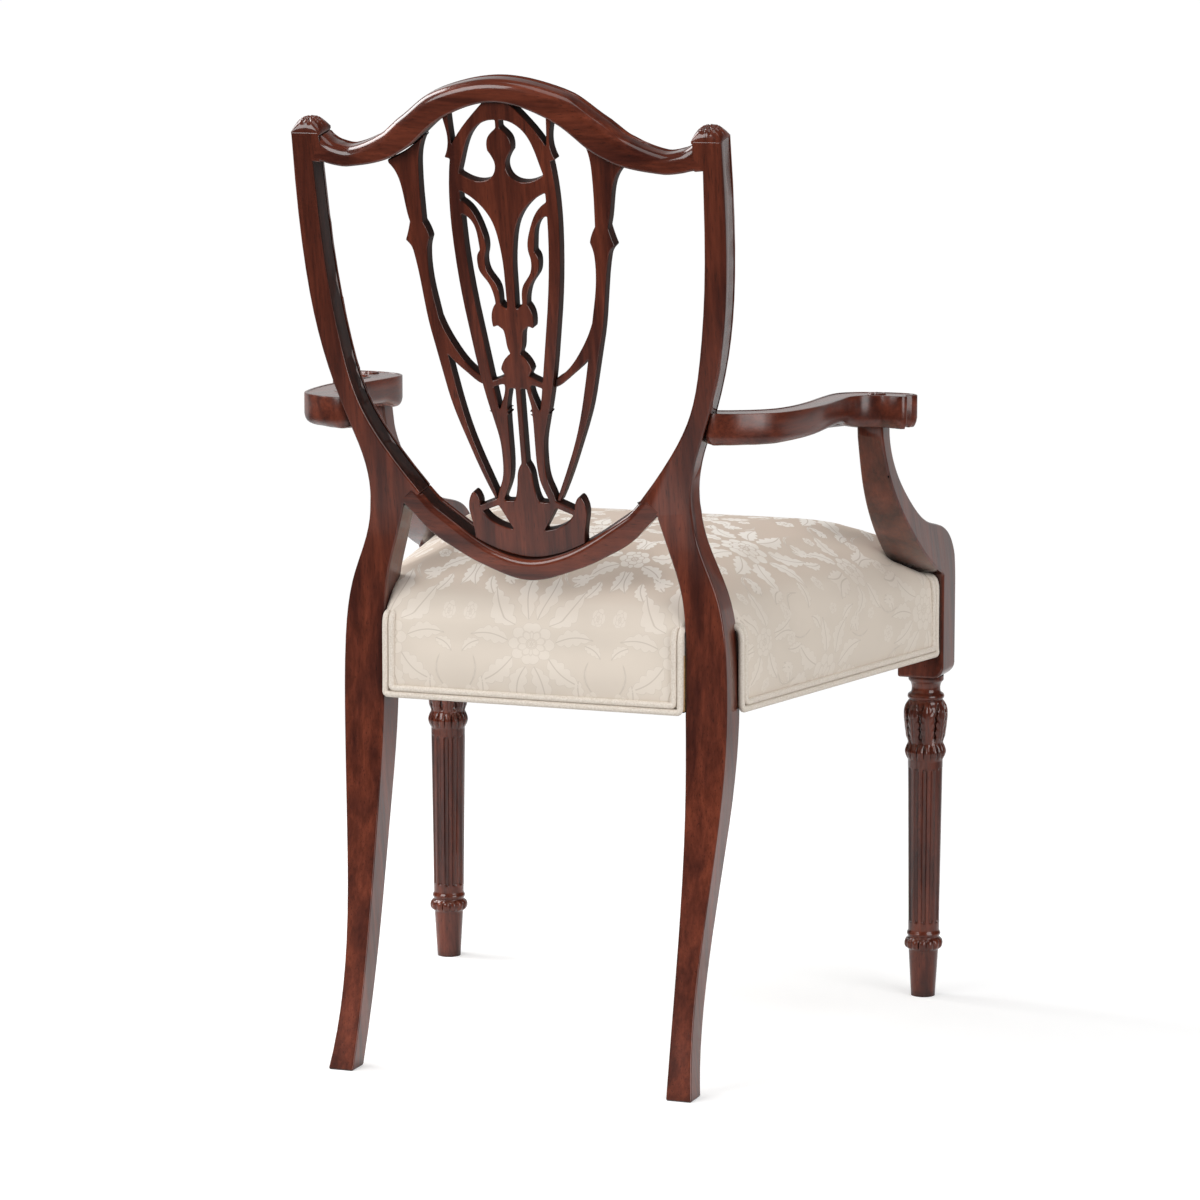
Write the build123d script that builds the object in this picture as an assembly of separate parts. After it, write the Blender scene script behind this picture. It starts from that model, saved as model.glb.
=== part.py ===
from build123d import *
import math
import os

os.makedirs("parts", exist_ok=True)

# An open-arm chair with a shield-shaped pierced back, turned front legs, sabre back legs and a
# stuffed-over seat. Millimetres, front toward -Y, up +Z. Depths are first taken from the front
# leg line, and the whole chair is centred over its own box at the end.

# Shield back: the posts lie in one leaning plane, the bow and the crest between them are dished
# back from it, and the splat follows their middles. Outline points are (across, up the lean).
back_rake = 10.5
shield_above_seat = 106.0
shield_foot_depth = 438.0
frame_thickness = 29.0
splat_thickness = 14.0
splat_set_back = 3.9
splat_rake = 11.7
banister_set_back = 1.5
waist_half = 166.5
crotch_half = 131.0
crotch_rise = 2.0
bow_joint_half = 112.0
bow_joint_rise = 14.0
bow_apex = -45.0
bow_foot = -65.5
bow_dish = 12.0
shield_inner_half = 197.0
shield_corner_rise = 342.0
shield_outer_half = 217.0
post_top_rise = 373.0
ear_height = 12.0
crest_joint_half = 188.0
crest_top_rise = 428.5
crest_middle_height = 21.0
crest_end_height = 19.0
crest_dish = 17.0
crest_dip_half = 158.0
moulding_width = 5.0
quirk_depth = 1.6
quirk_width = 2.0
arris_radius = 2.5

# Back legs, cut from one plank with the stiles above them.
foot_back = 500.0
foot_depth = 28.0
foot_inner_half = 162.5
foot_outer_half = 188.7
hip_below_seat = 36.0
hip_back = 429.0
hip_depth = 39.0
hip_inner_half = 156.0
hip_outer_half = 198.0

# Front legs, turned and fluted under a square block.
leg_half_spread = 266.4
leg_line_depth = -6.2
leg_below_seat = 24.0
leg_foot_radius = 12.5
flute_count = 12
flute_radius = 3.4
flute_bottom = 80.0
bulb_height = 70.0
ring_height = 18.0
shaft_bottom_radius = 16.0
shaft_top_radius = 18.0
tenon_radius = 10.0
tenon_length = 30.0

# Arm supports, each sawn in one piece with the block over the leg.
block_width = 49.0
block_front = -28.0
block_back = 16.0
support_width = 27.0

# Arms.
arm_above_seat = 211.0
arm_thickness = 32.0
arm_slope = 2.5
hand_across = 274.0
hand_depth = 188.0
hand_radius = 38.0
arm_top_radius = 4.0
arm_under_radius = 13.0

# Stuffed-over seat.
seat_bottom = 362.0
seat_side_height = 84.0
seat_edge_drop = 16.0
crown_over_bow = 1.337
seat_corner_radius = 6.0
crown_reach = 160.0
crown_steps = 9
seat_front_half = 295.7
seat_rear_half = 195.2
cover_thickness = 2.5
cloth_clearance = 0.4
seat_rear = 434.0
rail_thickness = 22.0
rail_above_bottom = 4.0
rail_below_edge = 26.0
webbing_width = 50.0
webbing_thickness = 1.6
webbing_count = 3
webbing_pitch = 105.0
welt_radius = 3.2
dust_cover_thickness = 1.2
corner_block_reach = 60.0
corner_block_inset = 14.0

# Levels that follow from the seat.
seat_edge = seat_bottom + seat_side_height
seat_roll = seat_edge - seat_edge_drop
rail_bottom = seat_bottom + rail_above_bottom
rail_top = seat_edge - rail_below_edge
hip_height = seat_edge - hip_below_seat
leg_top = seat_bottom - leg_below_seat
arm_top = seat_edge + arm_above_seat
arm_underside = arm_top - arm_thickness
shield_foot_height = seat_edge + shield_above_seat
bow_lowest = shield_foot_height + bow_foot * math.cos(math.radians(back_rake))
seat_crown = crown_over_bow * (bow_lowest - seat_roll)


def leaning(origin, rake):
    """A plane that faces the sitter and leans back by a rake in degrees."""
    lean = math.radians(rake)
    return Plane(origin=origin, x_dir=(1, 0, 0), z_dir=(0, -math.cos(lean), math.sin(lean)))


shield = leaning((0, shield_foot_depth, shield_foot_height), back_rake)
splat_back = leaning(shield.from_local_coords((0, 0, -splat_set_back)), splat_rake)

def closed(*runs):
    """A face bounded by runs of points: two points make a straight edge, more make a smooth one."""
    edges = []
    for run, following in zip(runs, runs[1:] + runs[:1]):
        edges.append(Spline(*run) if len(run) > 2 else Line(*run))
        if math.dist(run[-1], following[0]) > 1e-6:
            edges.append(Line(run[-1], following[0]))
    face = make_face(edges).face()
    return Sketch() + (face if face.normal_at().Z > 0 else -face)


def both_sides(face):
    """A face together with its mirror image across the middle of the chair."""
    return face + mirror(face, about=Plane.YZ)


def flipped(points):
    """The same run on the other side of the middle, in the opposite order."""
    return [(-x, s) for x, s in reversed(points)]


def board(face, depth, thickness):
    """A board of the shield, standing depth in front of the rear face."""
    return extrude(shield.offset(depth) * face, amount=thickness, dir=shield.z_dir)


def through(face, plane=shield):
    """An outline of the back carried right through it, to the front and to the rear."""
    return extrude(plane * face, amount=2 * (frame_thickness + crest_dish), both=True)


def dished(face, line, depth, thickness):
    """A board of the shield that follows a line drawn across it in plan."""
    rear = Pos(0, depth) * line
    front = Pos(0, depth + thickness) * line
    sides = [Line(rear @ 0, front @ 0), Line(rear @ 1, front @ 1)]
    plan = Plane(origin=shield.origin, x_dir=shield.x_dir, z_dir=-shield.y_dir)
    shell = extrude(plan * make_face([rear, front, *sides]), amount=2 * crest_top_rise, both=True)
    return through(face) & shell


crest_line = ThreePointArc((-crest_joint_half, 0), (0, -crest_dish), (crest_joint_half, 0))
bow_line = Spline(
    (-crotch_half, 0), (0, -bow_dish), (crotch_half, 0), tangents=[(1, 0), (1, 0)]
)

# Runs of the shield outline, right half, each from bottom to top.
stile_inner = [
    (bow_joint_half, bow_joint_rise),
    (146, 60),
    (168, 100),
    (183, 160),
    (shield_inner_half - 4.5, 240),
    (shield_inner_half - 1, 310),
    (shield_inner_half, shield_corner_rise),
]
stile_outer = [
    (waist_half, 0),
    (waist_half + 3.5, 49),
    (waist_half + 17.5, 90),
    (waist_half + 39.5, 171),
    (shield_outer_half - 2, 252),
    (shield_outer_half, 310),
    (shield_outer_half, post_top_rise),
]
bow_upper = [
    (0, bow_apex),
    (37, bow_apex + 8),
    (70, bow_apex + 25.5),
    (bow_joint_half - 9, bow_joint_rise - 9.5),
    (bow_joint_half, bow_joint_rise),
]
bow_lower = [
    (0, bow_foot),
    (50, bow_foot + 12.5),
    (75, bow_foot + 23.5),
    (crotch_half - 31, crotch_rise - 29.5),
    (crotch_half, crotch_rise),
]
crest_lower = [
    (0, crest_top_rise - crest_middle_height),
    (56, crest_top_rise - crest_middle_height - 17),
    (105, shield_corner_rise + 10.5),
    (crest_dip_half, shield_corner_rise - 3),
    (crest_joint_half, shield_corner_rise - 1),
]
crest_upper = [
    (0, crest_top_rise),
    (64.5, crest_top_rise - 13.5),
    (95, crest_top_rise - 34.5),
    (120, shield_corner_rise + 12 + crest_end_height),
    (crest_dip_half, shield_corner_rise - 3.5 + crest_end_height),
    (crest_joint_half, shield_corner_rise - 1 + crest_end_height),
]


def stile_face():
    ear = [
        (crest_joint_half, post_top_rise),
        (0.5 * (crest_joint_half + shield_outer_half), post_top_rise + ear_height),
        (shield_outer_half, post_top_rise),
    ]
    return closed(
        [(crotch_half, 0), (crotch_half, crotch_rise)],
        stile_inner,
        [(crest_joint_half, shield_corner_rise - 1), (crest_joint_half, post_top_rise)],
        ear,
        stile_outer[::-1],
    )


def bow_face():
    return closed(bow_upper, bow_lower[::-1], flipped(bow_lower)[::-1], flipped(bow_upper))


def crest_face():
    return closed(crest_upper[::-1], flipped(crest_upper)[::-1], flipped(crest_lower), crest_lower)


def beside(run, distance):
    """A run moved sideways by a distance, to the left of its direction."""
    moved = []
    for place, (x, s) in enumerate(run):
        x0, s0 = run[max(place - 1, 0)]
        x1, s1 = run[min(place + 1, len(run) - 1)]
        length = math.hypot(x1 - x0, s1 - s0)
        moved.append((x - distance * (s1 - s0) / length, s + distance * (x1 - x0) / length))
    return moved


def quirk_band(*runs):
    """Narrow strips along the edges of the shield frame, to be sunk into its front moulding."""
    band = Sketch()
    for run in runs:
        band += both_sides(closed(beside(run, quirk_depth), beside(run, -quirk_depth)[::-1]))
    return band


def softened(piece, radius):
    """A frame board with the long arrises of its rear face rounded over."""
    rear = piece.faces().sort_by(Axis((0, 0, 0), shield.z_dir))[0]
    return fillet(rear.edges().filter_by(GeomType.BSPLINE), radius)


def above_hip(share):
    """A height on the back leg, as a share of the way from the hip to the foot of the shield."""
    return hip_height + share * (shield_foot_height - hip_height)


def leg_rear_line():
    return [
        (foot_back, 0),
        (0.55 * foot_back + 0.45 * hip_back, 0.27 * hip_height),
        (0.2 * foot_back + 0.8 * hip_back, 0.56 * hip_height),
        (hip_back + 2, 0.8 * hip_height),
        (hip_back, hip_height),
        (hip_back + 1, above_hip(0.49)),
        (shield_foot_depth, shield_foot_height),
    ]


def leg_front_line():
    lean = math.radians(back_rake)
    return [
        (foot_back - foot_depth, 0),
        (0.55 * foot_back + 0.45 * hip_back - 31, 0.27 * hip_height),
        (0.2 * foot_back + 0.8 * hip_back - 35, 0.56 * hip_height),
        (hip_back + 2 - hip_depth, 0.8 * hip_height),
        (hip_back - hip_depth, hip_height),
        (hip_back + 1 - 36, above_hip(0.49)),
        (
            shield_foot_depth - frame_thickness * math.cos(lean),
            shield_foot_height + frame_thickness * math.sin(lean),
        ),
    ]


def leg_outer_line():
    return [
        (foot_outer_half, 0),
        (0.5 * (foot_outer_half + hip_outer_half), 0.61 * hip_height),
        (hip_outer_half, hip_height),
        (hip_outer_half - 10, above_hip(0.49)),
        (waist_half + 6.5, above_hip(0.775)),
        (waist_half, shield_foot_height),
    ]


def leg_inner_line():
    return [
        (foot_inner_half, 0),
        (0.5 * (foot_inner_half + hip_inner_half), 0.61 * hip_height),
        (hip_inner_half, hip_height),
        (hip_inner_half - 4, above_hip(0.49)),
        (crotch_half + 9.5, above_hip(0.775)),
        (crotch_half, shield_foot_height),
    ]


def back_leg():
    """The sawn leg below the waist: its front outline crossed with its sabre profile."""
    head = shield_foot_height + frame_thickness
    front = closed(
        leg_outer_line(), [(waist_half, head), (crotch_half, head)], leg_inner_line()[::-1]
    )
    side = closed(leg_rear_line(), leg_front_line()[::-1])
    sawn = extrude(Plane.XZ * front, amount=foot_back * 2, both=True)
    profile = extrude(Plane.YZ * side, amount=shield_outer_half * 2)
    return sawn & profile


def back_post():
    return board(stile_face(), 0, frame_thickness) + back_leg()


def splat_base():
    """The block that stands on the bow: scrolled wings, raking struts and a pointed spire."""
    outline = closed(
        [(0, bow_apex - 9), (59.5, bow_apex + 9)],
        [(59.5, bow_apex + 9), (60, -3), (59.5, 12), (54.5, 19.5), (49.5, 13), (49, 6)],
        [(49, 6), (31, 13.5)],
        [(31, 13.5), (27, 19)],
        [(22, 12), (12.6, 12.4)],
        [(12.6, 12.4), (9.7, 22.4), (8.3, 32.4), (6.9, 42.4), (4.7, 47.5), (2.75, 50.5)],
        [(0, 50.5), (0, bow_apex - 9)],
    )
    window = closed(
        [(46.5, 0.5), (29.8, 7)],
        [(29.8, 7), (16, -16.5)],
        [(16, -16.5), (33, -11.5), (41, -6), (46.5, 0.5)],
    )
    return outline - window


def splat_stem():
    """The centre line above the spire: a reed, a small fan on a bar and a winged bud."""
    reed = closed([(0, 44), (2.75, 44)], [(2.75, 130), (0, 130)])
    fan = closed(
        [(0, 126), (10, 126)],
        [(10, 126), (13, 132), (12.5, 139)],
        [(12.5, 139), (15.9, 145)],
        [(15.9, 145), (13.5, 151.5), (10, 156.5), (4.8, 161)],
        [(0, 161), (0, 126)],
    )
    bar = closed(
        [(9, 127.5), (13.4, 129.8), (21.7, 128), (33, 129)],
        [(33, 134), (29, 133), (21, 134.8), (9, 140)],
    )
    bud = closed(
        [(0, 158), (4.8, 160.5)],
        [(4.8, 160.5), (8.3, 171.5), (9.6, 181.5), (10.6, 184.5)],
        [(10.6, 184.5), (15.8, 188.5)],
        [(15.8, 188.5), (20.4, 186.5)],
        [(20.4, 186.5), (21.3, 196.5), (18.7, 206.5), (15.7, 210.5)],
        [(11, 210), (6.5, 206)],
        [(0, 206), (0, 158)],
    )
    return reed + fan + bar + bud


def splat_urn():
    """The tall urn, its neck and the leaf finial tied to the hoop over it."""
    return closed(
        [(0, 203), (4.1, 203)],
        [(4.1, 203), (4.7, 231), (5.3, 251), (7.7, 271), (13, 291), (26, 309), (41.5, 319.5)],
        [(41.5, 319.5), (47, 322)],
        [(47, 337), (42.5, 337.5)],
        [(42.5, 337.5), (32, 332), (22, 330.3), (10, 334.5), (5.6, 347.5), (8.3, 354.5), (12, 360)],
        [(12, 360), (12.5, 366), (11, 372.5), (6.6, 378), (2, 382)],
        [(2, 382), (2, 392)],
        [(0, 392), (0, 203)],
    )


def splat_ribs():
    """The ribs that rise from the base, part round the fan and close in a hoop under the crest."""
    lower = closed(
        [(30, 10), (27.8, 22.5), (23.9, 32.5), (22, 43), (21.7, 57), (22.6, 72), (26.9, 92), (30, 105)],
        [(30, 105), (12.2, 105)],
        [(12.2, 105), (12.9, 82), (12.8, 62), (13.7, 42.5), (15.5, 32.5), (19.2, 22.5), (25, 10)],
    )
    hoop = closed(
        [(29.7, 102), (38.3, 142), (44.6, 181.5), (50, 221), (53.5, 261), (54.8, 301), (48, 365)],
        [(48, 365), (40, 377), (28.3, 391), (12, 408)],
        [(12, 408), (0, crest_top_rise - 12)],
        [(0, crest_top_rise - 12), (0, 389.3)],
        [(0, 389.3), (13, 388), (25.9, 378.5), (35.5, 360), (42.5, 337.5)],
        [(42.5, 337.5), (43.2, 301), (41.9, 261), (38.2, 221), (32.9, 181.5), (27, 142), (20.6, 101.5)],
    )
    branch = closed(
        [(12.3, 100), (11.5, 112), (9.2, 122), (8, 130)],
        [(13.5, 130), (14, 122), (17.4, 112), (21, 101)],
    )
    scroll = closed(
        [(16.2, 208), (17.7, 220.5), (22, 231), (29.7, 242), (31.2, 249), (30.6, 258), (27.6, 262.5)],
        [(27.6, 262.5), (28.4, 271), (32, 288), (44, 298)],
        [(44, 298), (44, 311.5)],
        [(44, 311.5), (33.3, 302.5), (24.5, 284), (21, 268), (21.9, 260)],
        [(21.9, 260), (23.4, 250), (21.2, 240.5), (13.3, 228.5), (11.1, 213), (11.1, 207)],
    )
    leaf = closed(
        [(56.5, crest_top_rise - 27), (54.4, 389), (51.4, 372.5), (52.7, 360.5), (56, 352.5)],
        [(56, 352.5), (47, 350.5)],
        [(47, 350.5), (47.5, 364)],
        [(47.5, 364), (48.8, 380), (49.5, crest_top_rise - 24)],
    )
    return lower + hoop + branch + scroll + leaf


def banister_face():
    """One side banister: flared head, leaf knot, curved strip and the swag to the middle rib."""
    strip = closed(
        [(79, crest_top_rise - 43), (79, 371)],
        [(79, 371), (85, 357), (87.5, 335), (87.7, 307.5), (87.2, 286.5)],
        [(87.2, 286.5), (83, 278), (81, 271)],
        [(81, 271), (83.5, 264), (84.6, 258)],
        [
            (84.6, 258), (82.7, 218.5), (79.2, 199), (71.7, 157),
            (64.6, 120), (54.9, 80.5), (40.8, 41), (29, 12),
        ],
        [(33, 10), (34, 14)],
        [
            (34, 14), (42.3, 31.5), (57.9, 70.5), (71.6, 110),
            (80.6, 149.5), (89, 189), (95.6, 238.5), (99.2, 258),
        ],
        [(99.2, 258), (102, 264), (106.2, 268)],
        [(106.2, 268), (103, 277), (100.5, 286.5)],
        [(100.5, 286.5), (103, 297.5), (106, 317.5), (110, 332), (117.8, 343)],
        [(117.8, 343), (121, crest_top_rise - 70)],
    )
    swag = closed(
        [(80, 199), (73, 180), (63, 162), (50.4, 145.5), (41, 138), (33, 134)],
        [(33, 127), (42.5, 130), (50, 136), (59, 143.5), (66.7, 150.5), (76, 163)],
    )
    return strip + swag


def front_leg():
    """One turned leg about the origin: foot, ring, fluted shaft, ring, bulb, neck and tenon."""
    bulb_bottom = leg_top - bulb_height
    shaft_top = bulb_bottom - ring_height
    silhouette = [
        Line((0, 0), (leg_foot_radius, 0)),
        Line((leg_foot_radius, 0), (15.5, 49)),
        ThreePointArc((15.5, 49), (20, 56), (15.5, 63)),
        Line((15.5, 63), (shaft_bottom_radius, 70)),
        Line((shaft_bottom_radius, 70), (shaft_top_radius, shaft_top)),
        ThreePointArc(
            (shaft_top_radius, shaft_top),
            (shaft_top_radius + 2.8, bulb_bottom - ring_height / 2),
            (shaft_top_radius, bulb_bottom),
        ),
        Spline(
            (shaft_top_radius, bulb_bottom),
            (20, leg_top - 53),
            (21.5, leg_top - 40),
            (18.5, leg_top - 25),
        ),
        Line((18.5, leg_top - 25), (18.5, leg_top - 20)),
        ThreePointArc((18.5, leg_top - 20), (14.7, leg_top - 12), (21, leg_top - 5)),
        Line((21, leg_top - 5), (21, leg_top)),
        Line((21, leg_top), (tenon_radius, leg_top)),
        Line((tenon_radius, leg_top), (tenon_radius, leg_top + tenon_length)),
        Line((tenon_radius, leg_top + tenon_length), (0, leg_top + tenon_length)),
        Line((0, leg_top + tenon_length), (0, 0)),
    ]
    leg = revolve(Plane.XZ * make_face(silhouette), axis=Axis.Z)
    taper = math.degrees(math.atan2(shaft_top_radius - shaft_bottom_radius, shaft_top - 70))
    length = shaft_top - 10 - flute_bottom
    flute = Cylinder(flute_radius, length, align=(Align.CENTER, Align.CENTER, Align.MIN))
    flute += Sphere(flute_radius)
    flute += Pos(0, 0, length) * Sphere(flute_radius)
    start = shaft_bottom_radius + 1.2
    seated = Pos(start, 0, flute_bottom) * Rot(0, taper, 0) * flute
    for turn in range(flute_count):
        leg -= Rot(0, 0, turn * 360 / flute_count) * seated
    return leg


def arm_support(room=0.0):
    """The block over the leg and the swept support above it, in one sawn piece."""
    block_shoulder = seat_edge + 2
    rise = arm_underside - block_shoulder
    front = [
        (block_front - room, block_shoulder + 14),
        (block_front + 15 - room, block_shoulder + 0.21 * rise + room),
        (block_front + 85, block_shoulder + 0.335 * rise + room),
        (hand_depth - 71, block_shoulder + 0.515 * rise + room),
        (hand_depth - 23 - room, block_shoulder + 0.81 * rise),
        (hand_depth - 16 - room, arm_underside),
    ]
    back = [
        (hand_depth + 12 + room, arm_underside),
        (hand_depth + 1 + room, block_shoulder + 0.82 * rise),
        (hand_depth - 17 + room, block_shoulder + 0.633 * rise),
        (hand_depth - 81, block_shoulder + 0.282 * rise - room),
        (hand_depth - 134, block_shoulder + 0.09 * rise - room),
        (block_back + room, block_shoulder - room),
    ]
    profile = closed(
        [(block_front - room, leg_top), (block_front - room, block_shoulder + 14)],
        front,
        back,
        [(block_back + room, block_shoulder - room), (block_back + room, leg_top)],
    )
    low_inner = leg_half_spread - block_width / 2 - room
    low_outer = leg_half_spread + block_width / 2 + room
    top_inner = leg_half_spread - support_width / 2 - room
    top_outer = leg_half_spread + support_width / 2 + room
    width = closed(
        [(low_inner, leg_top), (low_outer, leg_top)],
        [(low_outer, leg_top), (low_outer, block_shoulder - 10)],
        [
            (low_outer, block_shoulder - 10),
            (low_outer - 3, block_shoulder + 0.255 * rise),
            (top_outer + 2, block_shoulder + 0.66 * rise),
            (top_outer, arm_underside),
        ],
        [
            (top_inner, arm_underside),
            (top_inner - 2, block_shoulder + 0.66 * rise),
            (low_inner + 3, block_shoulder + 0.255 * rise),
            (low_inner, block_shoulder - 10),
        ],
    )
    sawn = extrude(Plane.YZ * profile, amount=leg_half_spread * 2)
    front_view = extrude(Plane.XZ * width, amount=foot_back, both=True)
    return sawn & front_view


def arm(post):
    """The bowed arm with its round hand, coped against the stile that it meets."""
    hand_front = hand_depth - hand_radius
    root = waist_half + 8
    reach = hand_across - root
    outer = [
        (root, shield_foot_depth + 14),
        (root + 0.377 * reach, shield_foot_depth + 2),
        (root + 0.709 * reach, shield_foot_depth - 27),
        (hand_across + 1, hand_depth + 172),
        (hand_across + 24, hand_depth + 122),
        (hand_across + 37, hand_depth + 80),
        (hand_across + 38.5, hand_depth + 55),
        (hand_across + 36, hand_depth + 26),
        (hand_across + hand_radius, hand_depth),
        (hand_across + 27, hand_front + 11),
        (hand_across, hand_front),
    ]
    inner = [
        (hand_across, hand_front),
        (hand_across - 27, hand_front + 11),
        (hand_across - hand_radius, hand_depth),
        (hand_across - 31, hand_depth + 34),
        (hand_across - 26, hand_depth + 64),
        (hand_across - 27, hand_depth + 98),
        (root + 0.68 * reach, hand_depth + 133),
        (root + 0.558 * reach, hand_depth + 174),
        (root + 0.367 * reach, shield_foot_depth - 40),
        (root, shield_foot_depth - 14),
    ]
    plan = closed(outer, inner)
    slab = extrude(Plane.XY.offset(arm_underside) * plan, amount=arm_thickness)
    rims = slab.edges().filter_by(Plane.XY).filter_by(GeomType.BSPLINE)
    slab = fillet(rims.group_by(Axis.Z)[0], arm_under_radius)
    rims = slab.edges().filter_by(Plane.XY).filter_by(GeomType.BSPLINE)
    slab = fillet(rims.group_by(Axis.Z)[-1], arm_top_radius)
    hinge = Pos(0, shield_foot_depth, arm_top)
    return hinge * Rot(arm_slope, 0, 0) * hinge.inverse() * slab - post


def side_half(depth):
    """Half the seat's width at a depth, along its straight tapering sides."""
    share = (depth - block_front) / (seat_rear - block_front)
    return seat_front_half + share * (seat_rear_half - seat_front_half)


def seat_section(inset, height, corner):
    """The seat's plan at one height, drawn in by inset, with rounded corners."""
    front = block_front + inset
    rear = seat_rear - inset
    front_half = side_half(front) - inset
    rear_half = side_half(rear) - inset
    corners = [(-front_half, front), (front_half, front), (rear_half, rear), (-rear_half, rear)]
    face = make_face(Polyline(*corners, close=True))
    return Plane.XY.offset(height) * fillet(face.vertices(), corner)


def seat_form(shrink, bottom):
    """The stuffed seat: upright sides and a crown that rolls over and rises to the middle."""
    sections = []
    for step in range(crown_steps + 1):
        turn = math.radians(90 * step / crown_steps)
        inset = shrink + crown_reach * (1 - math.cos(turn))
        height = seat_roll + (seat_crown - shrink) * math.sin(turn)
        corner = seat_corner_radius + 0.25 * (inset - shrink)
        sections.append(seat_section(inset, height, corner))
    skirt = extrude(seat_section(shrink, bottom, seat_corner_radius), amount=seat_roll - bottom)
    return skirt + loft(sections, ruled=True)


def corner_notches():
    """What the back posts and the front blocks keep clear of the stuffing and its cover."""
    beyond = seat_front_half * 2
    post_front = [(y - cloth_clearance, z) for y, z in leg_front_line()]
    post_inner = [(x - cloth_clearance, z) for x, z in leg_inner_line()]
    behind = closed(post_front, [(beyond, post_front[-1][1]), (beyond, 0)])
    aside = closed(post_inner, [(beyond, shield_foot_height), (beyond, 0)])
    posts = extrude(Plane.YZ * behind, amount=beyond)
    posts &= extrude(Plane.XZ * aside, amount=beyond, both=True)
    block_inner = leg_half_spread - block_width / 2 - cloth_clearance
    blocks = Pos(block_inner, block_back + cloth_clearance, 0) * Box(
        beyond, beyond, seat_edge + 2, align=(Align.MIN, Align.MAX, Align.MIN)
    )
    half = posts + blocks + arm_support(cloth_clearance)
    return half + mirror(half, about=Plane.YZ)


def upright(points, bottom, top):
    """A prism of a straight-sided plan between two heights."""
    plan = make_face(Polyline(*points, close=True))
    return extrude(Plane.XY.offset(bottom) * plan, amount=top - bottom)


def side_rail_line(inset, depth):
    return (side_half(depth) - inset, depth)


def side_rail(post, support):
    outside = cover_thickness + cloth_clearance
    inside = outside + rail_thickness
    corners = [
        side_rail_line(outside, block_back),
        side_rail_line(outside, hip_back - hip_depth),
        side_rail_line(inside, hip_back - hip_depth),
        side_rail_line(inside, block_back),
    ]
    return upright(corners, rail_bottom, rail_top) - post - support


def end_rail(outer_face, half, inward):
    """The front or rear rail, between the blocks or the posts."""
    inner_face = outer_face + inward * rail_thickness
    corners = [(-half, outer_face), (half, outer_face), (half, inner_face), (-half, inner_face)]
    return upright(corners, rail_bottom, rail_top)


def corner_block(first, second, corner, neighbours):
    """A three-sided glue block across one inside corner, fitted against its neighbours."""
    low = rail_bottom + corner_block_inset
    block = upright([first, second, corner], low, rail_top)
    for neighbour in neighbours:
        block -= neighbour
    return block.solids().sort_by(SortBy.VOLUME)[-1]


def webbing(across):
    """One set of bands nailed over the rails, either across the seat or from front to rear."""
    bands = Part()
    reach_front = block_front + cover_thickness + cloth_clearance
    reach_rear = seat_rear - cover_thickness - cloth_clearance
    pitch = webbing_pitch
    for step in range(webbing_count):
        shift = (step - (webbing_count - 1) / 2) * pitch
        if across:
            depth = 0.5 * (reach_front + reach_rear) + shift
            half = side_half(depth + webbing_width / 2) - cover_thickness - cloth_clearance
            corners = [
                (-half, depth - webbing_width / 2),
                (half, depth - webbing_width / 2),
                (half, depth + webbing_width / 2),
                (-half, depth + webbing_width / 2),
            ]
            low = rail_top
        else:
            corners = [
                (shift - webbing_width / 2, reach_front),
                (shift + webbing_width / 2, reach_front),
                (shift + webbing_width / 2, reach_rear),
                (shift - webbing_width / 2, reach_rear),
            ]
            low = rail_top + webbing_thickness
        bands += upright(corners, low, low + webbing_thickness)
    return bands


def welt(panel, length, height):
    """A double cord on one panel: up one edge, along the bottom and up the other edge."""
    cords = Pos(welt_radius, 0) * Circle(welt_radius) + Pos(3 * welt_radius, 0) * Circle(welt_radius)
    flat = Rectangle(4 * welt_radius, 2 * welt_radius, align=(Align.MIN, Align.MIN))
    tape = Rectangle(4 * welt_radius, 0.4 * welt_radius, align=(Align.MIN, Align.MIN))
    section = (cords & flat) + tape
    route = panel * Polyline((0, height), (0, 0), (length, 0), (length, height))
    start = Plane(
        origin=panel.from_local_coords((0, height, 0)), x_dir=panel.x_dir, z_dir=-panel.y_dir
    )
    return sweep(start * section, path=route, transition=Transition.RIGHT)


waist_up = [(x, s) for x, s in stile_outer if s > 0]
quirk_level = frame_thickness - moulding_width - quirk_width
post_quirk = board(quirk_band(stile_inner, waist_up), quirk_level, quirk_width)
bow_quirk = dished(quirk_band(bow_upper, bow_lower), bow_line, quirk_level, quirk_width)
crest_quirk = dished(quirk_band(crest_lower, crest_upper), crest_line, quirk_level, quirk_width)
bow = softened(dished(bow_face(), bow_line, 0, frame_thickness), arris_radius) - bow_quirk
crest = softened(dished(crest_face(), crest_line, 0, frame_thickness), arris_radius) - crest_quirk
crest_cut = through(crest_face())
splat_face = both_sides(splat_base() + splat_stem() + splat_urn() + splat_ribs())
splat = extrude(splat_back * splat_face, amount=splat_thickness, dir=splat_back.z_dir)
splat = splat - crest_cut - through(bow_face())
banister = board(banister_face(), -banister_set_back, splat_thickness)
banister = banister - crest_cut - through(splat_face, splat_back)
post = back_post() - post_quirk
arm_piece = arm(post)
support = arm_support() - arm_piece
bore = Pos(leg_half_spread, leg_line_depth, leg_top) * Cylinder(
    tenon_radius, tenon_length, align=(Align.CENTER, Align.CENTER, Align.MIN)
)
leg = Pos(leg_half_spread, leg_line_depth, 0) * front_leg()
outside = cover_thickness + cloth_clearance
front_rail = end_rail(block_front + outside, leg_half_spread - block_width / 2, 1)
rear_rail = end_rail(seat_rear - outside, hip_inner_half, -1)
rear_rail = rear_rail - post - mirror(post, about=Plane.YZ)
side = side_rail(post, support)
front_inner = block_front + outside + rail_thickness
rear_inner = seat_rear - outside - rail_thickness
block_inner = leg_half_spread - block_width / 2
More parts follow.
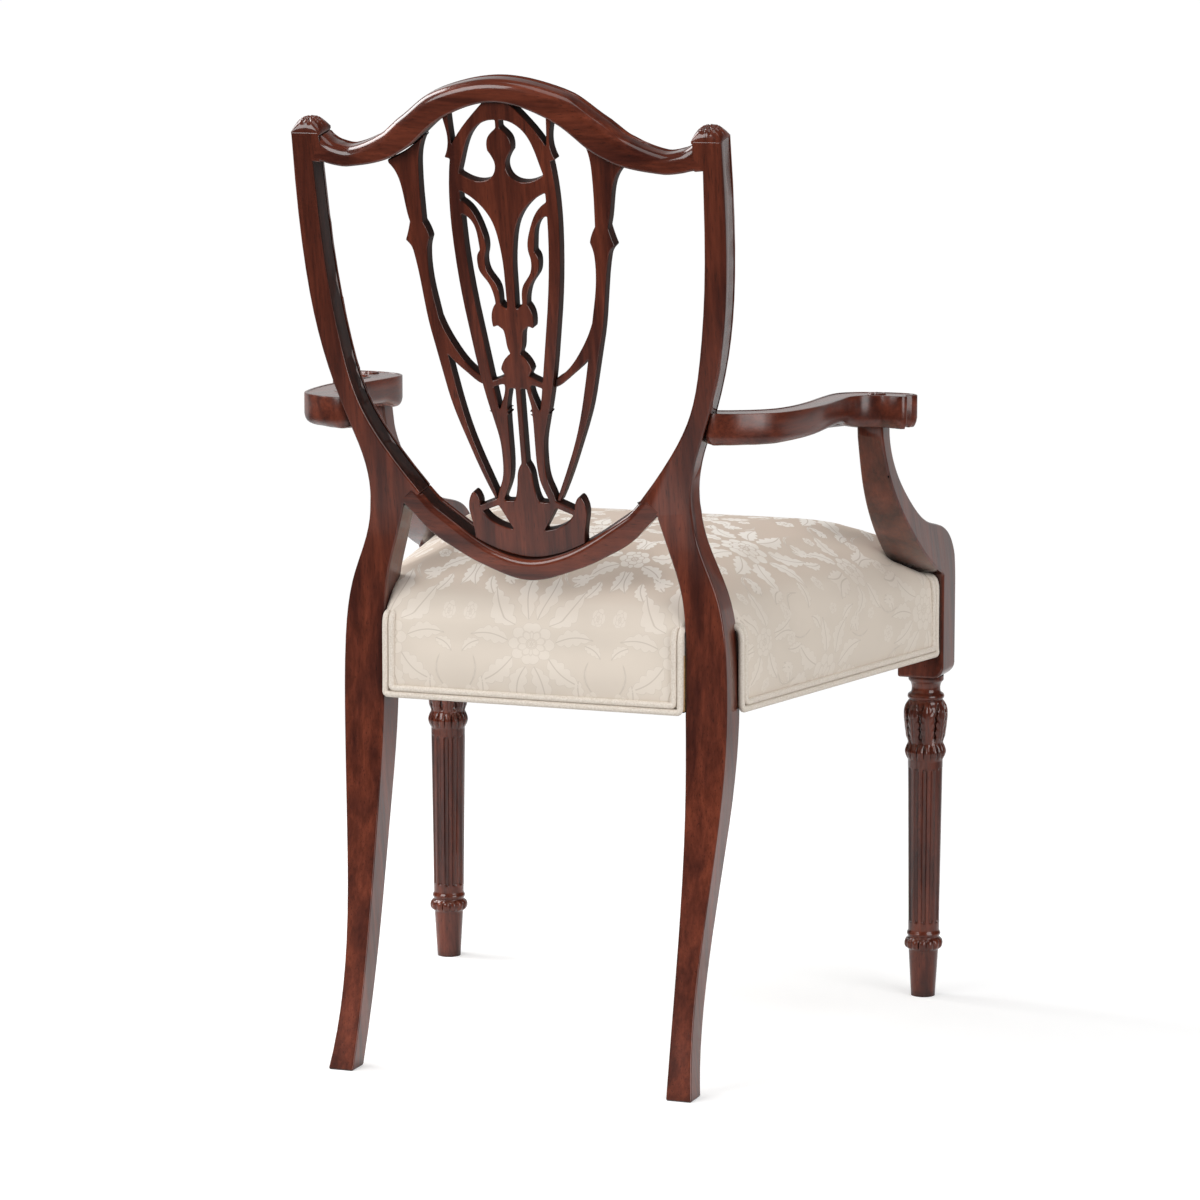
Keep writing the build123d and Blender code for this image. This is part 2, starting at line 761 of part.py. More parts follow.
front_corner = corner_block(
    (block_inner - corner_block_reach, front_inner),
    side_rail_line(outside + rail_thickness, block_back + corner_block_reach),
    (seat_front_half, block_front),
    (front_rail, side, support),
)
rear_corner = corner_block(
    (hip_inner_half - corner_block_reach, rear_inner),
    side_rail_line(outside + rail_thickness, hip_back - hip_depth - corner_block_reach),
    (seat_rear_half, seat_rear),
    (rear_rail, side, post),
)
notches = corner_notches()
cover = seat_form(0, seat_bottom) - seat_form(cover_thickness, seat_bottom - 1) - notches
pad_bottom = rail_top + 2 * webbing_thickness + cloth_clearance
under_pad = Pos(0, 0, pad_bottom) * Box(
    4 * seat_front_half, 4 * seat_rear, seat_edge, align=(Align.CENTER, Align.CENTER, Align.MAX)
)
pad = seat_form(outside, seat_bottom) - under_pad - notches
dust_plan = seat_section(outside, rail_bottom - dust_cover_thickness, seat_corner_radius)
dust_cover = extrude(dust_plan, amount=dust_cover_thickness)
dust_cover -= notches

welt_height = seat_roll - seat_bottom
rear_panel = Plane((hip_inner_half - 1, seat_rear, seat_bottom), x_dir=(-1, 0, 0), z_dir=(0, 1, 0))
front_panel = Plane((1 - block_inner, block_front, seat_bottom), x_dir=(1, 0, 0), z_dir=(0, -1, 0))
side_start = Vector(*side_rail_line(0, block_back + 1), seat_bottom)
side_end = Vector(*side_rail_line(0, hip_back - hip_depth - 1), seat_bottom)
side_along = (side_end - side_start).normalized()
side_panel = Plane(side_start, x_dir=side_along, z_dir=side_along.cross(Vector(0, 0, 1)))

left_pieces = {
    "back_post": post,
    "arm_support": support - bore,
    "front_leg": leg,
    "arm": arm_piece,
    "banister": banister,
    "side_seat_rail": side,
    "corner_block_front": front_corner,
    "corner_block_rear": rear_corner,
    "welt_side": welt(side_panel, (side_end - side_start).length, welt_height),
}
pieces = {
    "shield_bow": bow,
    "crest_rail": crest,
    "center_splat": splat,
    "front_seat_rail": front_rail,
    "rear_seat_rail": rear_rail,
    "webbing_crosswise": webbing(True),
    "webbing_lengthwise": webbing(False),
    "seat_pad": pad,
    "seat_cover": cover,
    "dust_cover": dust_cover,
    "welt_rear": welt(rear_panel, 2 * hip_inner_half - 2, welt_height),
    "welt_front": welt(front_panel, 2 * block_inner - 2, welt_height),
}
for name, piece in left_pieces.items():
    pieces[f"{name}_left"] = piece
    pieces[f"{name}_right"] = mirror(piece, about=Plane.YZ)

boxes = [piece.bounding_box() for piece in pieces.values()]
middle = 0.5 * (min(box.min.Y for box in boxes) + max(box.max.Y for box in boxes))
for name, piece in pieces.items():
    print(name, len(piece.solids()), round(piece.volume))
    export_step(Pos(0, -middle, 0) * piece, f"parts/{name}.step")
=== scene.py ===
# %% [markdown]
# # A shield-back armchair
#
# The chair is already measured and built as solids. This lesson dresses those solids: polished
# mahogany for the frame, ivory damask for the seat and twin piping round its edges. Sizes are in
# metres. The chair faces -Y, so the camera stands behind it, on the +Y side.

# %% Load the frame
import math
import bpy
import bmesh
from mathutils import Matrix, Vector


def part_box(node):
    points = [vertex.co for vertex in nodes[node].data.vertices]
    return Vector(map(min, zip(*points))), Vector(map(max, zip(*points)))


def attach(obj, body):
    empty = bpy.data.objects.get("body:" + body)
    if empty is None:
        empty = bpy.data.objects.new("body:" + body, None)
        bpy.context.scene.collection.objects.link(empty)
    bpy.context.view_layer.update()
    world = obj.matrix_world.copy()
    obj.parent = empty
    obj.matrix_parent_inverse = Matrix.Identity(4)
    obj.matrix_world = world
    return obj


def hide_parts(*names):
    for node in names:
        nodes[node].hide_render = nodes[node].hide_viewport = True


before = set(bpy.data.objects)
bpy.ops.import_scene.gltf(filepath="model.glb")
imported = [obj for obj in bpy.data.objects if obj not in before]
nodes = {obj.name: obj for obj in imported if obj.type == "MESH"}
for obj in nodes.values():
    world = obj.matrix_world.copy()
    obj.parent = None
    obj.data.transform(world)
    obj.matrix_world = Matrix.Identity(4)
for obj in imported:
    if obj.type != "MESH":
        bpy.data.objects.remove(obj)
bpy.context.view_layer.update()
MM = 0.001
leg_low, leg_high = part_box("front_leg_left")
leg_line = 0.5 * (leg_low.y + leg_high.y)
front_line = leg_line + 6.2 * MM


def at(across, depth, height):
    """A point from millimetres: across the chair, back from the leg line, and up."""
    return Vector((across * MM, front_line + depth * MM, height * MM))


# %% [markdown]
# ## The camera
#
# The picture is taken from behind the chair and to one side, from about five metres, with a long
# lens that keeps the uprights parallel. Three directions make the camera: backwards, right and up.

# %% Camera
yaw = math.radians(20.4346)
pitch = math.radians(8.9102)
backwards = Vector(
    (-math.sin(yaw) * math.cos(pitch), math.cos(yaw) * math.cos(pitch), math.sin(pitch))
)
rightwards = Vector((0, 0, 1)).cross(backwards).normalized()
upwards = backwards.cross(rightwards)
camera_data = bpy.data.cameras.new("photo_camera")
camera_data.lens = 150.716
camera = bpy.data.objects.new("photo_camera", camera_data)
bpy.context.scene.collection.objects.link(camera)
camera.matrix_world = (
    Matrix.Translation((-1.73511, leg_line + 4.90595, 1.21738))
    @ Matrix((rightwards, upwards, backwards)).transposed().to_4x4()
)
bpy.context.scene.camera = camera
bpy.context.scene.view_settings.view_transform = "Standard"
print("camera at", [round(v, 3) for v in camera.location])

# %% [markdown]
# ## Two small tools for materials
#
# Colours are written as the hex values that a colour picker shows and turned to linear light by
# one function. The other adds a shader node, sets its values and draws its links in one go.


# %% Material tools
def linear(hex_colour):
    """An sRGB hex colour as linear red, green, blue and alpha."""
    levels = []
    for place in (0, 2, 4):
        level = int(hex_colour[place : place + 2], 16) / 255
        levels.append(level / 12.92 if level <= 0.04045 else ((level + 0.055) / 1.055) ** 2.4)
    return (*levels, 1.0)


def add(tree, kind, inputs=None, **settings):
    """A new shader node: settings are its options, inputs its values or the sockets to link."""
    node = tree.nodes.new(kind)
    for name, value in settings.items():
        setattr(node, name, value)
    for name, value in (inputs or {}).items():
        if isinstance(value, bpy.types.NodeSocket):
            tree.links.new(value, node.inputs[name])
        else:
            node.inputs[name].default_value = value
    return node


def new_material(name):
    """An empty material and its node tree, ready for a shader."""
    material = bpy.data.materials.new(name)
    material.use_nodes = True
    material.node_tree.nodes.clear()
    return material, material.node_tree


# %% [markdown]
# ## Floor and studio light
#
# A pale floor runs out to a white studio. The lamps are large and soft, as round a product
# picture. Seen from the camera, one stands high on the left, a lower one on the right, one beside
# the chair on the left, and a weak one hangs overhead. In the polish the room shows bright only
# behind the chair, so the wood keeps its depth and only its edges and rounds catch light.

# %% Floor
# Matt white paint: the chair's shadow shows on it, and further out it runs into the white room.
bpy.ops.object.select_all(action="DESELECT")
bpy.ops.mesh.primitive_plane_add(size=60, location=(0, 0, 0))
floor = bpy.context.object
floor.name = "studio_floor"
painted_floor, tree = new_material("matt white floor paint")
light_path = add(tree, "ShaderNodeLightPath")
mirrored = add(
    tree, "ShaderNodeMath",
    {0: light_path.outputs["Is Glossy Ray"], 1: light_path.outputs["Is Transmission Ray"]},
    operation="ADD", use_clamp=True,
)
place = add(tree, "ShaderNodeTexCoord")
reach = add(tree, "ShaderNodeVectorMath", {0: place.outputs["Object"]}, operation="LENGTH")
sheet = add(
    tree, "ShaderNodeMapRange",
    {"Value": reach.outputs["Value"], "From Min": 0.8, "From Max": 1.9, "To Min": 0.0, "To Max": 1.0},
    interpolation_type="SMOOTHSTEP",
)
tone = add(
    tree, "ShaderNodeMix",
    {0: sheet.outputs[0], 6: linear("d8d8d8"), 7: linear("2c2c2c")}, data_type="RGBA",
)
paint = add(tree, "ShaderNodeBsdfDiffuse", {"Color": tone.outputs[2]})
far_white = add(
    tree, "ShaderNodeMapRange",
    {"Value": sheet.outputs[0], "From Min": 0.0, "From Max": 1.0, "To Min": 0.42, "To Max": 1.0},
)
camera_glow = add(
    tree, "ShaderNodeMath", {0: light_path.outputs["Is Camera Ray"], 1: far_white.outputs[0]},
    operation="MULTIPLY",
)
spot = add(tree, "ShaderNodeSeparateXYZ", {0: place.outputs["Object"]})
sweep = add(
    tree, "ShaderNodeMapRange",
    {"Value": spot.outputs["Y"], "From Min": -0.7, "From Max": -1.8, "To Min": 0.05, "To Max": 0.45},
)
mirror_glow = add(
    tree, "ShaderNodeMath", {0: mirrored.outputs[0], 1: sweep.outputs[0]}, operation="MULTIPLY"
)
lift = add(
    tree, "ShaderNodeMath", {0: camera_glow.outputs[0], 1: mirror_glow.outputs[0]}, operation="ADD"
)
glow = add(tree, "ShaderNodeEmission", {"Color": linear("ffffff"), "Strength": lift.outputs[0]})
both = add(tree, "ShaderNodeAddShader", {0: paint.outputs[0], 1: glow.outputs[0]})
add(tree, "ShaderNodeOutputMaterial", {"Surface": both.outputs[0]})
floor.data.materials.append(painted_floor)
print("floor:", floor.name)

# %% Studio room
world = bpy.data.worlds.new("studio_room")
bpy.context.scene.world = world
world.use_nodes = True
tree = world.node_tree
tree.nodes.clear()
light_path = add(tree, "ShaderNodeLightPath")
direction = add(tree, "ShaderNodeTexCoord")
facing = add(
    tree, "ShaderNodeVectorMath", {0: direction.outputs["Generated"], 1: -backwards},
    operation="DOT_PRODUCT",
)
backdrop = add(
    tree, "ShaderNodeMapRange",
    {"Value": facing.outputs["Value"], "From Min": 0.62, "From Max": 0.92, "To Min": 0.03, "To Max": 0.62},
)
room = add(tree, "ShaderNodeBackground", {"Color": linear("ffffff"), "Strength": 0.4})
shown = add(tree, "ShaderNodeBackground", {"Color": linear("ffffff"), "Strength": backdrop.outputs[0]})
white = add(tree, "ShaderNodeBackground", {"Color": linear("ffffff"), "Strength": 1.0})
mirrored = add(
    tree, "ShaderNodeMath",
    {0: light_path.outputs["Is Glossy Ray"], 1: light_path.outputs["Is Transmission Ray"]},
    operation="ADD", use_clamp=True,
)
first = add(
    tree, "ShaderNodeMixShader", {0: mirrored.outputs[0], 1: room.outputs[0], 2: shown.outputs[0]}
)
second = add(
    tree, "ShaderNodeMixShader",
    {0: light_path.outputs["Is Camera Ray"], 1: first.outputs[0], 2: white.outputs[0]},
)
add(tree, "ShaderNodeOutputWorld", {"Surface": second.outputs[0]})


def soft_lamp(name, place, width, height, power):
    """A rectangular soft lamp aimed at the middle of the chair."""
    data = bpy.data.lights.new(name, "AREA")
    data.shape = "RECTANGLE"
    data.size = width
    data.size_y = height
    data.energy = power
    lamp = bpy.data.objects.new(name, data)
    bpy.context.scene.collection.objects.link(lamp)
    away = (Vector(place) - Vector((0, 0, 0.5))).normalized()
    lamp.matrix_world = Matrix.Translation(place) @ away.to_track_quat("Z", "Y").to_matrix().to_4x4()
    return lamp


soft_lamp("key_lamp", (1.9, 3.0, 2.4), 2.3, 2.1, 85)
soft_lamp("fill_lamp", (-3.3, 1.6, 1.5), 2.2, 2.6, 72)
soft_lamp("side_lamp", (2.1, -0.15, 2.0), 1.3, 1.5, 52)
soft_lamp("top_lamp", (-0.4, 0.4, 3.0), 1.8, 1.2, 12)
print("lamps:", len(bpy.data.lights))

# %% [markdown]
# ## Mahogany
#
# The frame is mahogany, stained dark red-brown, filled and polished. Three things make it: a
# ribbon figure of lighter and darker stripes a centimetre or two wide, short dark pores along the
# grain, and a clear polish on top that carries the reflections. On top of that, ambient occlusion
# darkens the colour in corners and recesses as painted shade. The grain runs along each piece,
# so every direction has its own material.


# %% Mahogany
def mahogany(name, along, coat_roughness=0.1):
    """Polished mahogany whose grain runs along a direction."""
    material, tree = new_material(name)
    place = add(tree, "ShaderNodeTexCoord")
    turn = Vector((0, 0, 1)).rotation_difference(Vector(along)).to_euler()
    grain = add(
        tree, "ShaderNodeMapping",
        {0: place.outputs["Object"], "Rotation": turn, "Scale": (1, 1, 14)}, vector_type="TEXTURE",
    )
    # Ribbon figure: stripes 18 mm wide, about 250 mm long.
    ribbon = add(
        tree, "ShaderNodeTexNoise",
        {
            "Vector": grain.outputs[0], "Scale": 1 / (18 * MM), "Detail": 3,
            "Roughness": 0.55, "Distortion": 0.4,
        },
    )
    # Annual lines: 3 mm wide.
    lines = add(
        tree, "ShaderNodeTexNoise",
        {"Vector": grain.outputs[0], "Scale": 1 / (3 * MM), "Detail": 4, "Roughness": 0.6},
    )
    # Pores: dark flecks under a millimetre wide, drawn at 1 mm so that they show.
    pores = add(
        tree, "ShaderNodeTexNoise",
        {"Vector": grain.outputs[0], "Scale": 1 / (1 * MM), "Detail": 1},
    )
    base = add(tree, "ShaderNodeValToRGB", {0: ribbon.outputs[0]})
    base.color_ramp.elements[0].position = 0.32
    base.color_ramp.elements[0].color = linear("42190f")
    base.color_ramp.elements[1].position = 0.72
    base.color_ramp.elements[1].color = linear("783824")
    streak = add(
        tree, "ShaderNodeMapRange",
        {"Value": lines.outputs[0], "From Min": 0.35, "From Max": 0.7, "To Min": 0.72, "To Max": 1.12},
    )
    toned = add(
        tree, "ShaderNodeMix",
        {0: 1.0, 6: base.outputs[0], 7: streak.outputs[0]}, data_type="RGBA", blend_type="MULTIPLY",
    )
    fleck = add(
        tree, "ShaderNodeMapRange",
        {"Value": pores.outputs[0], "From Min": 0.62, "From Max": 0.72, "To Min": 0.0, "To Max": 0.55},
    )
    pored = add(
        tree, "ShaderNodeMix",
        {0: fleck.outputs[0], 6: toned.outputs[2], 7: linear("24100b")}, data_type="RGBA",
    )
    # Painted shade: ambient occlusion darkens the colour in corners and recesses, down to 0.14 of it.
    corner = add(tree, "ShaderNodeAmbientOcclusion", {"Distance": 12 * MM}, samples=6)
    shade = add(
        tree, "ShaderNodeMapRange",
        {"Value": corner.outputs["AO"], "From Min": 0.25, "From Max": 0.9, "To Min": 0.14, "To Max": 1.0},
    )
    shade_painted = add(
        tree, "ShaderNodeMix",
        {0: 1.0, 6: pored.outputs[2], 7: shade.outputs[0]}, data_type="RGBA", blend_type="MULTIPLY",
    )
    dulled = add(
        tree, "ShaderNodeMapRange",
        {"Value": lines.outputs[0], "From Min": 0.3, "From Max": 0.7, "To Min": 0.3, "To Max": 0.45},
    )
    relief = add(
        tree, "ShaderNodeBump", {"Strength": 0.08, "Distance": 0.2 * MM, "Height": lines.outputs[0]}
    )
    wood = add(
        tree, "ShaderNodeBsdfPrincipled",
        {
            "Base Color": shade_painted.outputs[2],
            "Roughness": dulled.outputs[0],
            "Specular IOR Level": 0.12,
            "Normal": relief.outputs[0],
            "Coat Weight": 1.0,
            "Coat Roughness": coat_roughness,
            "Coat IOR": 1.5,
        },
    )
    add(tree, "ShaderNodeOutputMaterial", {"Surface": wood.outputs[0]})
    return material


def plain_finish(name, dark, light, grain_size, stretch, roughness, depth):
    """A simple grained or woven finish of two tones on the piece's own coordinates."""
    material, tree = new_material(name)
    place = add(tree, "ShaderNodeTexCoord")
    spread = add(tree, "ShaderNodeMapping", {0: place.outputs["Object"], "Scale": stretch})
    grain = add(
        tree, "ShaderNodeTexNoise",
        {"Vector": spread.outputs[0], "Scale": 1 / (grain_size * MM), "Detail": 4},
    )
    tone = add(tree, "ShaderNodeValToRGB", {0: grain.outputs[0]})
    tone.color_ramp.elements[0].position = 0.3
    tone.color_ramp.elements[0].color = linear(dark)
    tone.color_ramp.elements[1].position = 0.7
    tone.color_ramp.elements[1].color = linear(light)
    relief = add(
        tree, "ShaderNodeBump", {"Strength": 0.3, "Distance": depth * MM, "Height": grain.outputs[0]}
    )
    surface = add(
        tree, "ShaderNodeBsdfPrincipled",
        {
            "Base Color": tone.outputs[0],
            "Roughness": roughness,
            "Specular IOR Level": 0.2,
            "Normal": relief.outputs[0],
        },
    )
    add(tree, "ShaderNodeOutputMaterial", {"Surface": surface.outputs[0]})
    return material


lean = math.radians(10.5)
lean_up = Vector((0, math.sin(lean), math.cos(lean)))
lean_front = Vector((0, -math.cos(lean), math.sin(lean)))
upright_grain = mahogany("polished mahogany, upright grain", lean_up)
cross_grain = mahogany("polished mahogany, cross grain", (1, 0, 0))
# Hands have dulled the polish of the arms a little, so lamps show in them as soft patches.
arm_grain = mahogany("polished mahogany, arm grain", (0.2, 1, 0), 0.24)
# Sawn edges get little polish, and their near-black colour is painted shade.
edge_in_painted_shade = plain_finish("sawn edge in painted shade", "1a0a06", "3a190f", 3, (1, 1, 0.15), 0.5, 0.1)
print("wood finishes:", upright_grain.name, cross_grain.name, arm_grain.name, edge_in_painted_shade.name)

# %% [markdown]
# ## Eased edges
#
# A cabinet maker breaks every sharp edge with sandpaper before polishing, and the thin bright
# lines along those edges are what makes the frame look polished. A copy of each solid is merged,
# its flat faces are joined up again, and the sharp edges are bevelled by about a millimetre.


# %% Easing tools
def activate(piece):
    """Makes a piece the only selected and the active object."""
    bpy.ops.object.select_all(action="DESELECT")
    piece.select_set(True)
    bpy.context.view_layer.objects.active = piece


def keep(piece, slot, *replaced):
    """Ties a finished piece to the chair's one body and hides the solids it stands for."""
    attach(piece, "root")
    if replaced:
        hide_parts(*replaced)
    return piece


def solid_copy(name, piece_name):
    """A merged copy of a solid, as a new object at the origin."""
    piece = bpy.data.objects.new(piece_name, nodes[name].data.copy())
    bpy.context.scene.collection.objects.link(piece)
    activate(piece)
    piece.data.materials.clear()
    bpy.ops.object.mode_set(mode="EDIT")
    bpy.ops.mesh.select_all(action="SELECT")
    bpy.ops.mesh.remove_doubles(threshold=0.002 * MM)
    bpy.ops.object.mode_set(mode="OBJECT")
    return piece


def polish(piece, material):
    """Smooths the rounded edges while the flat faces stay flat, and gives the finish."""
    activate(piece)
    bpy.ops.object.shade_smooth_by_angle(angle=math.radians(35))
    flat = piece.modifiers.new("flat faces", "WEIGHTED_NORMAL")
    flat.keep_sharp = True
    flat.weight = 100
    bpy.ops.object.modifier_apply(modifier=flat.name)
    if material:
        piece.data.materials.append(material)
    return piece


def ease_edges(piece, width, sharp=32):
    """Joins up a piece's flat faces and rounds its sharp edges."""
    activate(piece)
    bpy.ops.object.mode_set(mode="EDIT")
    bpy.ops.mesh.select_all(action="SELECT")
    bpy.ops.mesh.dissolve_limited(angle_limit=math.radians(1))
    bpy.ops.object.mode_set(mode="OBJECT")
    bevel = piece.modifiers.new("eased edges", "BEVEL")
    bevel.limit_method = "ANGLE"
    bevel.angle_limit = math.radians(sharp)
    bevel.width = width
    bevel.segments = 3
    bevel.use_clamp_overlap = False
    bevel.miter_outer = "MITER_ARC"
    bpy.ops.object.modifier_apply(modifier=bevel.name)
    return piece


def eased(name, width, material):
    """A solid's copy with its sharp edges rounded off, polished."""
    piece = ease_edges(solid_copy(name, "polished_" + name), width)
    return keep(polish(piece, material), "mahogany", name)


# %% Wood that is one solid each
def round_foot(piece, radius):
    """Rounds the lower outer and front edges of the block under an arm support."""
    low = min(point.co.z for point in piece.data.vertices)
    front = min(point.co.y for point in piece.data.vertices)
    outer = max(abs(point.co.x) for point in piece.data.vertices)
    activate(piece)
    bpy.ops.object.mode_set(mode="EDIT")
    bpy.ops.mesh.select_all(action="SELECT")
    bpy.ops.mesh.dissolve_limited(angle_limit=math.radians(1))
    shape = bmesh.from_edit_mesh(piece.data)
    for edge_of_block in shape.edges:
        ends = [point.co for point in edge_of_block.verts]
        at_foot = all(abs(end.z - low) < 0.2 * MM for end in ends)
        in_front = all(abs(end.y - front) < 0.2 * MM for end in ends)
        outside = all(abs(abs(end.x) - outer) < 0.2 * MM for end in ends)
        edge_of_block.select_set(at_foot and (in_front or outside))
    bmesh.update_edit_mesh(piece.data)
    bpy.ops.mesh.bevel(offset=radius, segments=6, affect="EDGES")
    bpy.ops.object.mode_set(mode="OBJECT")


def paint_edges_in_shade(piece):
    """Paints the sawn edges of a pierced board near-black, as painted shade."""
    piece.data.materials.append(edge_in_painted_shade)
    for face in piece.data.polygons:
        if abs(face.normal.dot(lean_front)) < 0.35:
            face.material_index = 1


wood_pieces = []
for side in ("left", "right"):
    support = solid_copy(f"arm_support_{side}", f"polished_arm_support_{side}")
    top = max(point.co.z for point in support.data.vertices)
    for point in support.data.vertices:
        if point.co.z > top - 2 * MM:
            point.co.z += 9 * MM
    round_foot(support, 12 * MM)
    ease_edges(support, 2.5 * MM)
    wood_pieces.append(keep(polish(support, upright_grain), "mahogany", f"arm_support_{side}"))
for name in ("banister_left", "banister_right", "center_splat"):
    board = eased(name, 1.3 * MM, upright_grain)
    # The board's sawn edges get the near-black finish: painted shade.
    paint_edges_in_shade(board)
    wood_pieces.append(board)
for piece in wood_pieces:
    print(piece.name, len(piece.data.polygons))

# %% [markdown]
# ## Arms
#
# Each arm leaves its post, narrows to a neck and ends in a broad hand of two lobes over the
# support. Its top slopes down a little to the front, its lower edge is well rounded, and a fine
# raised rim follows the edge of the top. A plan of the arm is drawn as a closed smooth curve, and
# rings of it, drawn in and set at their heights, make the surface from the underside to the top.
# A small flower is carved on each hand.


# %% Tools for shaped pieces
def run_through(points):
    """A smooth curve through points, level at the first, as a function of the distance from 0."""
    slopes = []
    for place in range(len(points)):
        before = points[max(place - 1, 0)]
        after = points[min(place + 1, len(points) - 1)]
        slopes.append((after[1] - before[1]) / (after[0] - before[0]) if place else 0.0)

    def height(across):
        across = abs(across)
        span = 0
        while span < len(points) - 2 and across > points[span + 1][0]:
            span += 1
        (x0, y0), (x1, y1) = points[span], points[span + 1]
        t = (across - x0) / (x1 - x0)
        if t > 1:
            return y1 + slopes[span + 1] * (across - x1)
        wide = x1 - x0
        return (
            y0 * (2 * t**3 - 3 * t**2 + 1) + slopes[span] * wide * (t**3 - 2 * t**2 + t)
            + y1 * (3 * t**2 - 2 * t**3) + slopes[span + 1] * wide * (t**3 - t**2)
        )

    return height


def wrapped_grid(name, rings):
    """A closed piece from rings of points, one above the other, with both ends filled."""
    shape = bmesh.new()
    grid = [[shape.verts.new(place) for place in ring] for ring in rings]
    around = len(grid[0])
    for low, high in zip(grid, grid[1:]):
        for place in range(around):
            after = (place + 1) % around
            shape.faces.new((low[place], low[after], high[after], high[place]))
    shape.faces.new(grid[0][::-1])
    shape.faces.new(grid[-1])
    bmesh.ops.recalc_face_normals(shape, faces=shape.faces)
    mesh = bpy.data.meshes.new(name)
    shape.to_mesh(mesh)
    shape.free()
    piece = bpy.data.objects.new(name, mesh)
    bpy.context.scene.collection.objects.link(piece)
    return piece


def smooth_loop(corners, steps):
    """A closed smooth curve through plan points, with a number of steps from each to the next."""
    places = [Vector(corner) for corner in corners]
    count = len(places)
    loop = []
    for index in range(count):
        before, start, end, after = (places[(index + k) % count] for k in (-1, 0, 1, 2))
        for step in range(steps):
            t = step / steps
            loop.append(
                0.5 * (2 * start + (end - before) * t + (2 * before - 5 * start + 4 * end - after) * t**2
                + (3 * start - before - 3 * end + after) * t**3)
            )
    return loop


def drawn_in(loop, inset):
    """The same curve moved inwards by a distance, and by less where it turns tightly."""
    moved = []
    for index, place in enumerate(loop):
        behind = place - loop[index - 3]
        ahead = loop[(index + 3) % len(loop)] - place
        chord = behind + ahead
        bend = 2 * (behind.y * ahead.x - behind.x * ahead.y)
        bend = max(0.0, bend / (behind.length * ahead.length * chord.length))
        reach = inset / (1 + 1.2 * inset * bend)
        moved.append(place + reach * Vector((chord.y, -chord.x)).normalized())
    return moved


# %% Arms
# Across and depth of the left arm's edge, from the post out, round the hand and back inside.
arm_plan = smooth_loop(
    [
        (188, 452), (205, 450), (222, 440), (236, 428), (248, 408), (256, 370), (260, 325), (258, 275),
        (256, 240), (258, 224), (266, 212), (279, 206), (292, 208), (302, 208), (306.5, 203), (304, 197),
        (303, 193), (308, 188.5), (310.5, 181), (306, 173), (297, 168), (284, 166.5), (268, 169),
        (248, 177), (235, 190), (230, 210), (231, 250), (234, 300), (233, 345), (226, 378),
        (212, 398), (194, 412), (178, 420), (174.5, 436),
    ],
    8,
)
# Depth and thickness: full at the hand and the post, thin at the neck.
arm_thickness = run_through(
    [(160, 31.5), (205, 32.5), (222, 30), (240, 26.5), (300, 26.5), (360, 29), (460, 31)]
)
hand_middle = (271, 188)
arm_height, arm_slope, post_depth = 657, 0.024, 438
top_sink = 0.6
# Rings from the underside to the top: drawn in by, share of the thickness, and a height to add.
arm_rings = (
    (9, 0, 0), (5.0, 0, 0.9), (2.6, 0, 2.6), (0.8, 0, 5.6), (0, 0, 9.5), (0, 1, -1.1), (0.3, 1, -0.35),
    (1.1, 1, 0), (3.0, 1, 0), (3.3, 1, -top_sink),
)


def arm_top(depth):
    """Height of the arm's top at a depth, in millimetres."""
    return arm_height - arm_slope * (post_depth - depth)


# Radius and rise of the flower's rings, from its rim to its button.
rosette_rings = (
    (10, -1.5), (9.6, 0.2), (8.4, 1.5), (6.6, 1.7), (4.6, 0.7), (3.4, 0.6), (2.6, 1.9), (1, 2.3),
)


def rosette(sign):
    """A small carved flower on the hand: six petals round a button."""
    rings = []
    for radius, rise in rosette_rings:
        notch = 0.16 if radius > 4 else 0.0
        ring = []
        for place in range(48):
            turn = math.tau * place / 48
            reach = radius * (1 - notch * (1 - abs(math.cos(3 * turn)) ** 0.6))
            across = hand_middle[0] + reach * math.cos(turn)
            depth = hand_middle[1] + reach * math.sin(turn)
            ring.append(at(sign * across, depth, arm_top(depth) - top_sink + rise))
        rings.append(ring)
    return wrapped_grid("rosette", rings)


for sign, side in ((1, "left"), (-1, "right")):
    rings = []
    for inset, share, lift in arm_rings:
        ring = []
        for across, depth in drawn_in(arm_plan, inset):
            height = arm_top(depth) - (1 - share) * arm_thickness(depth) + lift
            ring.append(at(sign * across, depth, height))
        rings.append(ring)
    arm = wrapped_grid(f"polished_arm_{side}", rings)
    carved = rosette(sign)
    activate(arm)
    carved.select_set(True)
    bpy.ops.object.join()
    bpy.ops.object.shade_smooth_by_angle(angle=math.radians(40))
    arm.data.materials.append(arm_grain)
    keep(arm, "mahogany", f"arm_{side}")
    print(arm.name, len(arm.data.polygons))

# %% [markdown]
# ## The shield
#
# The crest and the bow are moulded: their rear upper corner is worked to a full round that
# carries one long highlight, and a narrow quirk sets off the bead at the front. Each is an
# outline of the moulding carried along a curve, square to it. The joints to the posts are glued
# and polished over, so all four members are united and no line shows between them.

# %% Moulded members
shield_foot = at(0, post_depth, 552)
post_top = 371


def on_shield(across, rise, depth):
    """A point of the back in millimetres: across, up the lean, and forward of its rear face."""
    return shield_foot + Vector((across * MM, 0, 0)) + lean_up * (rise * MM) + lean_front * (depth * MM)


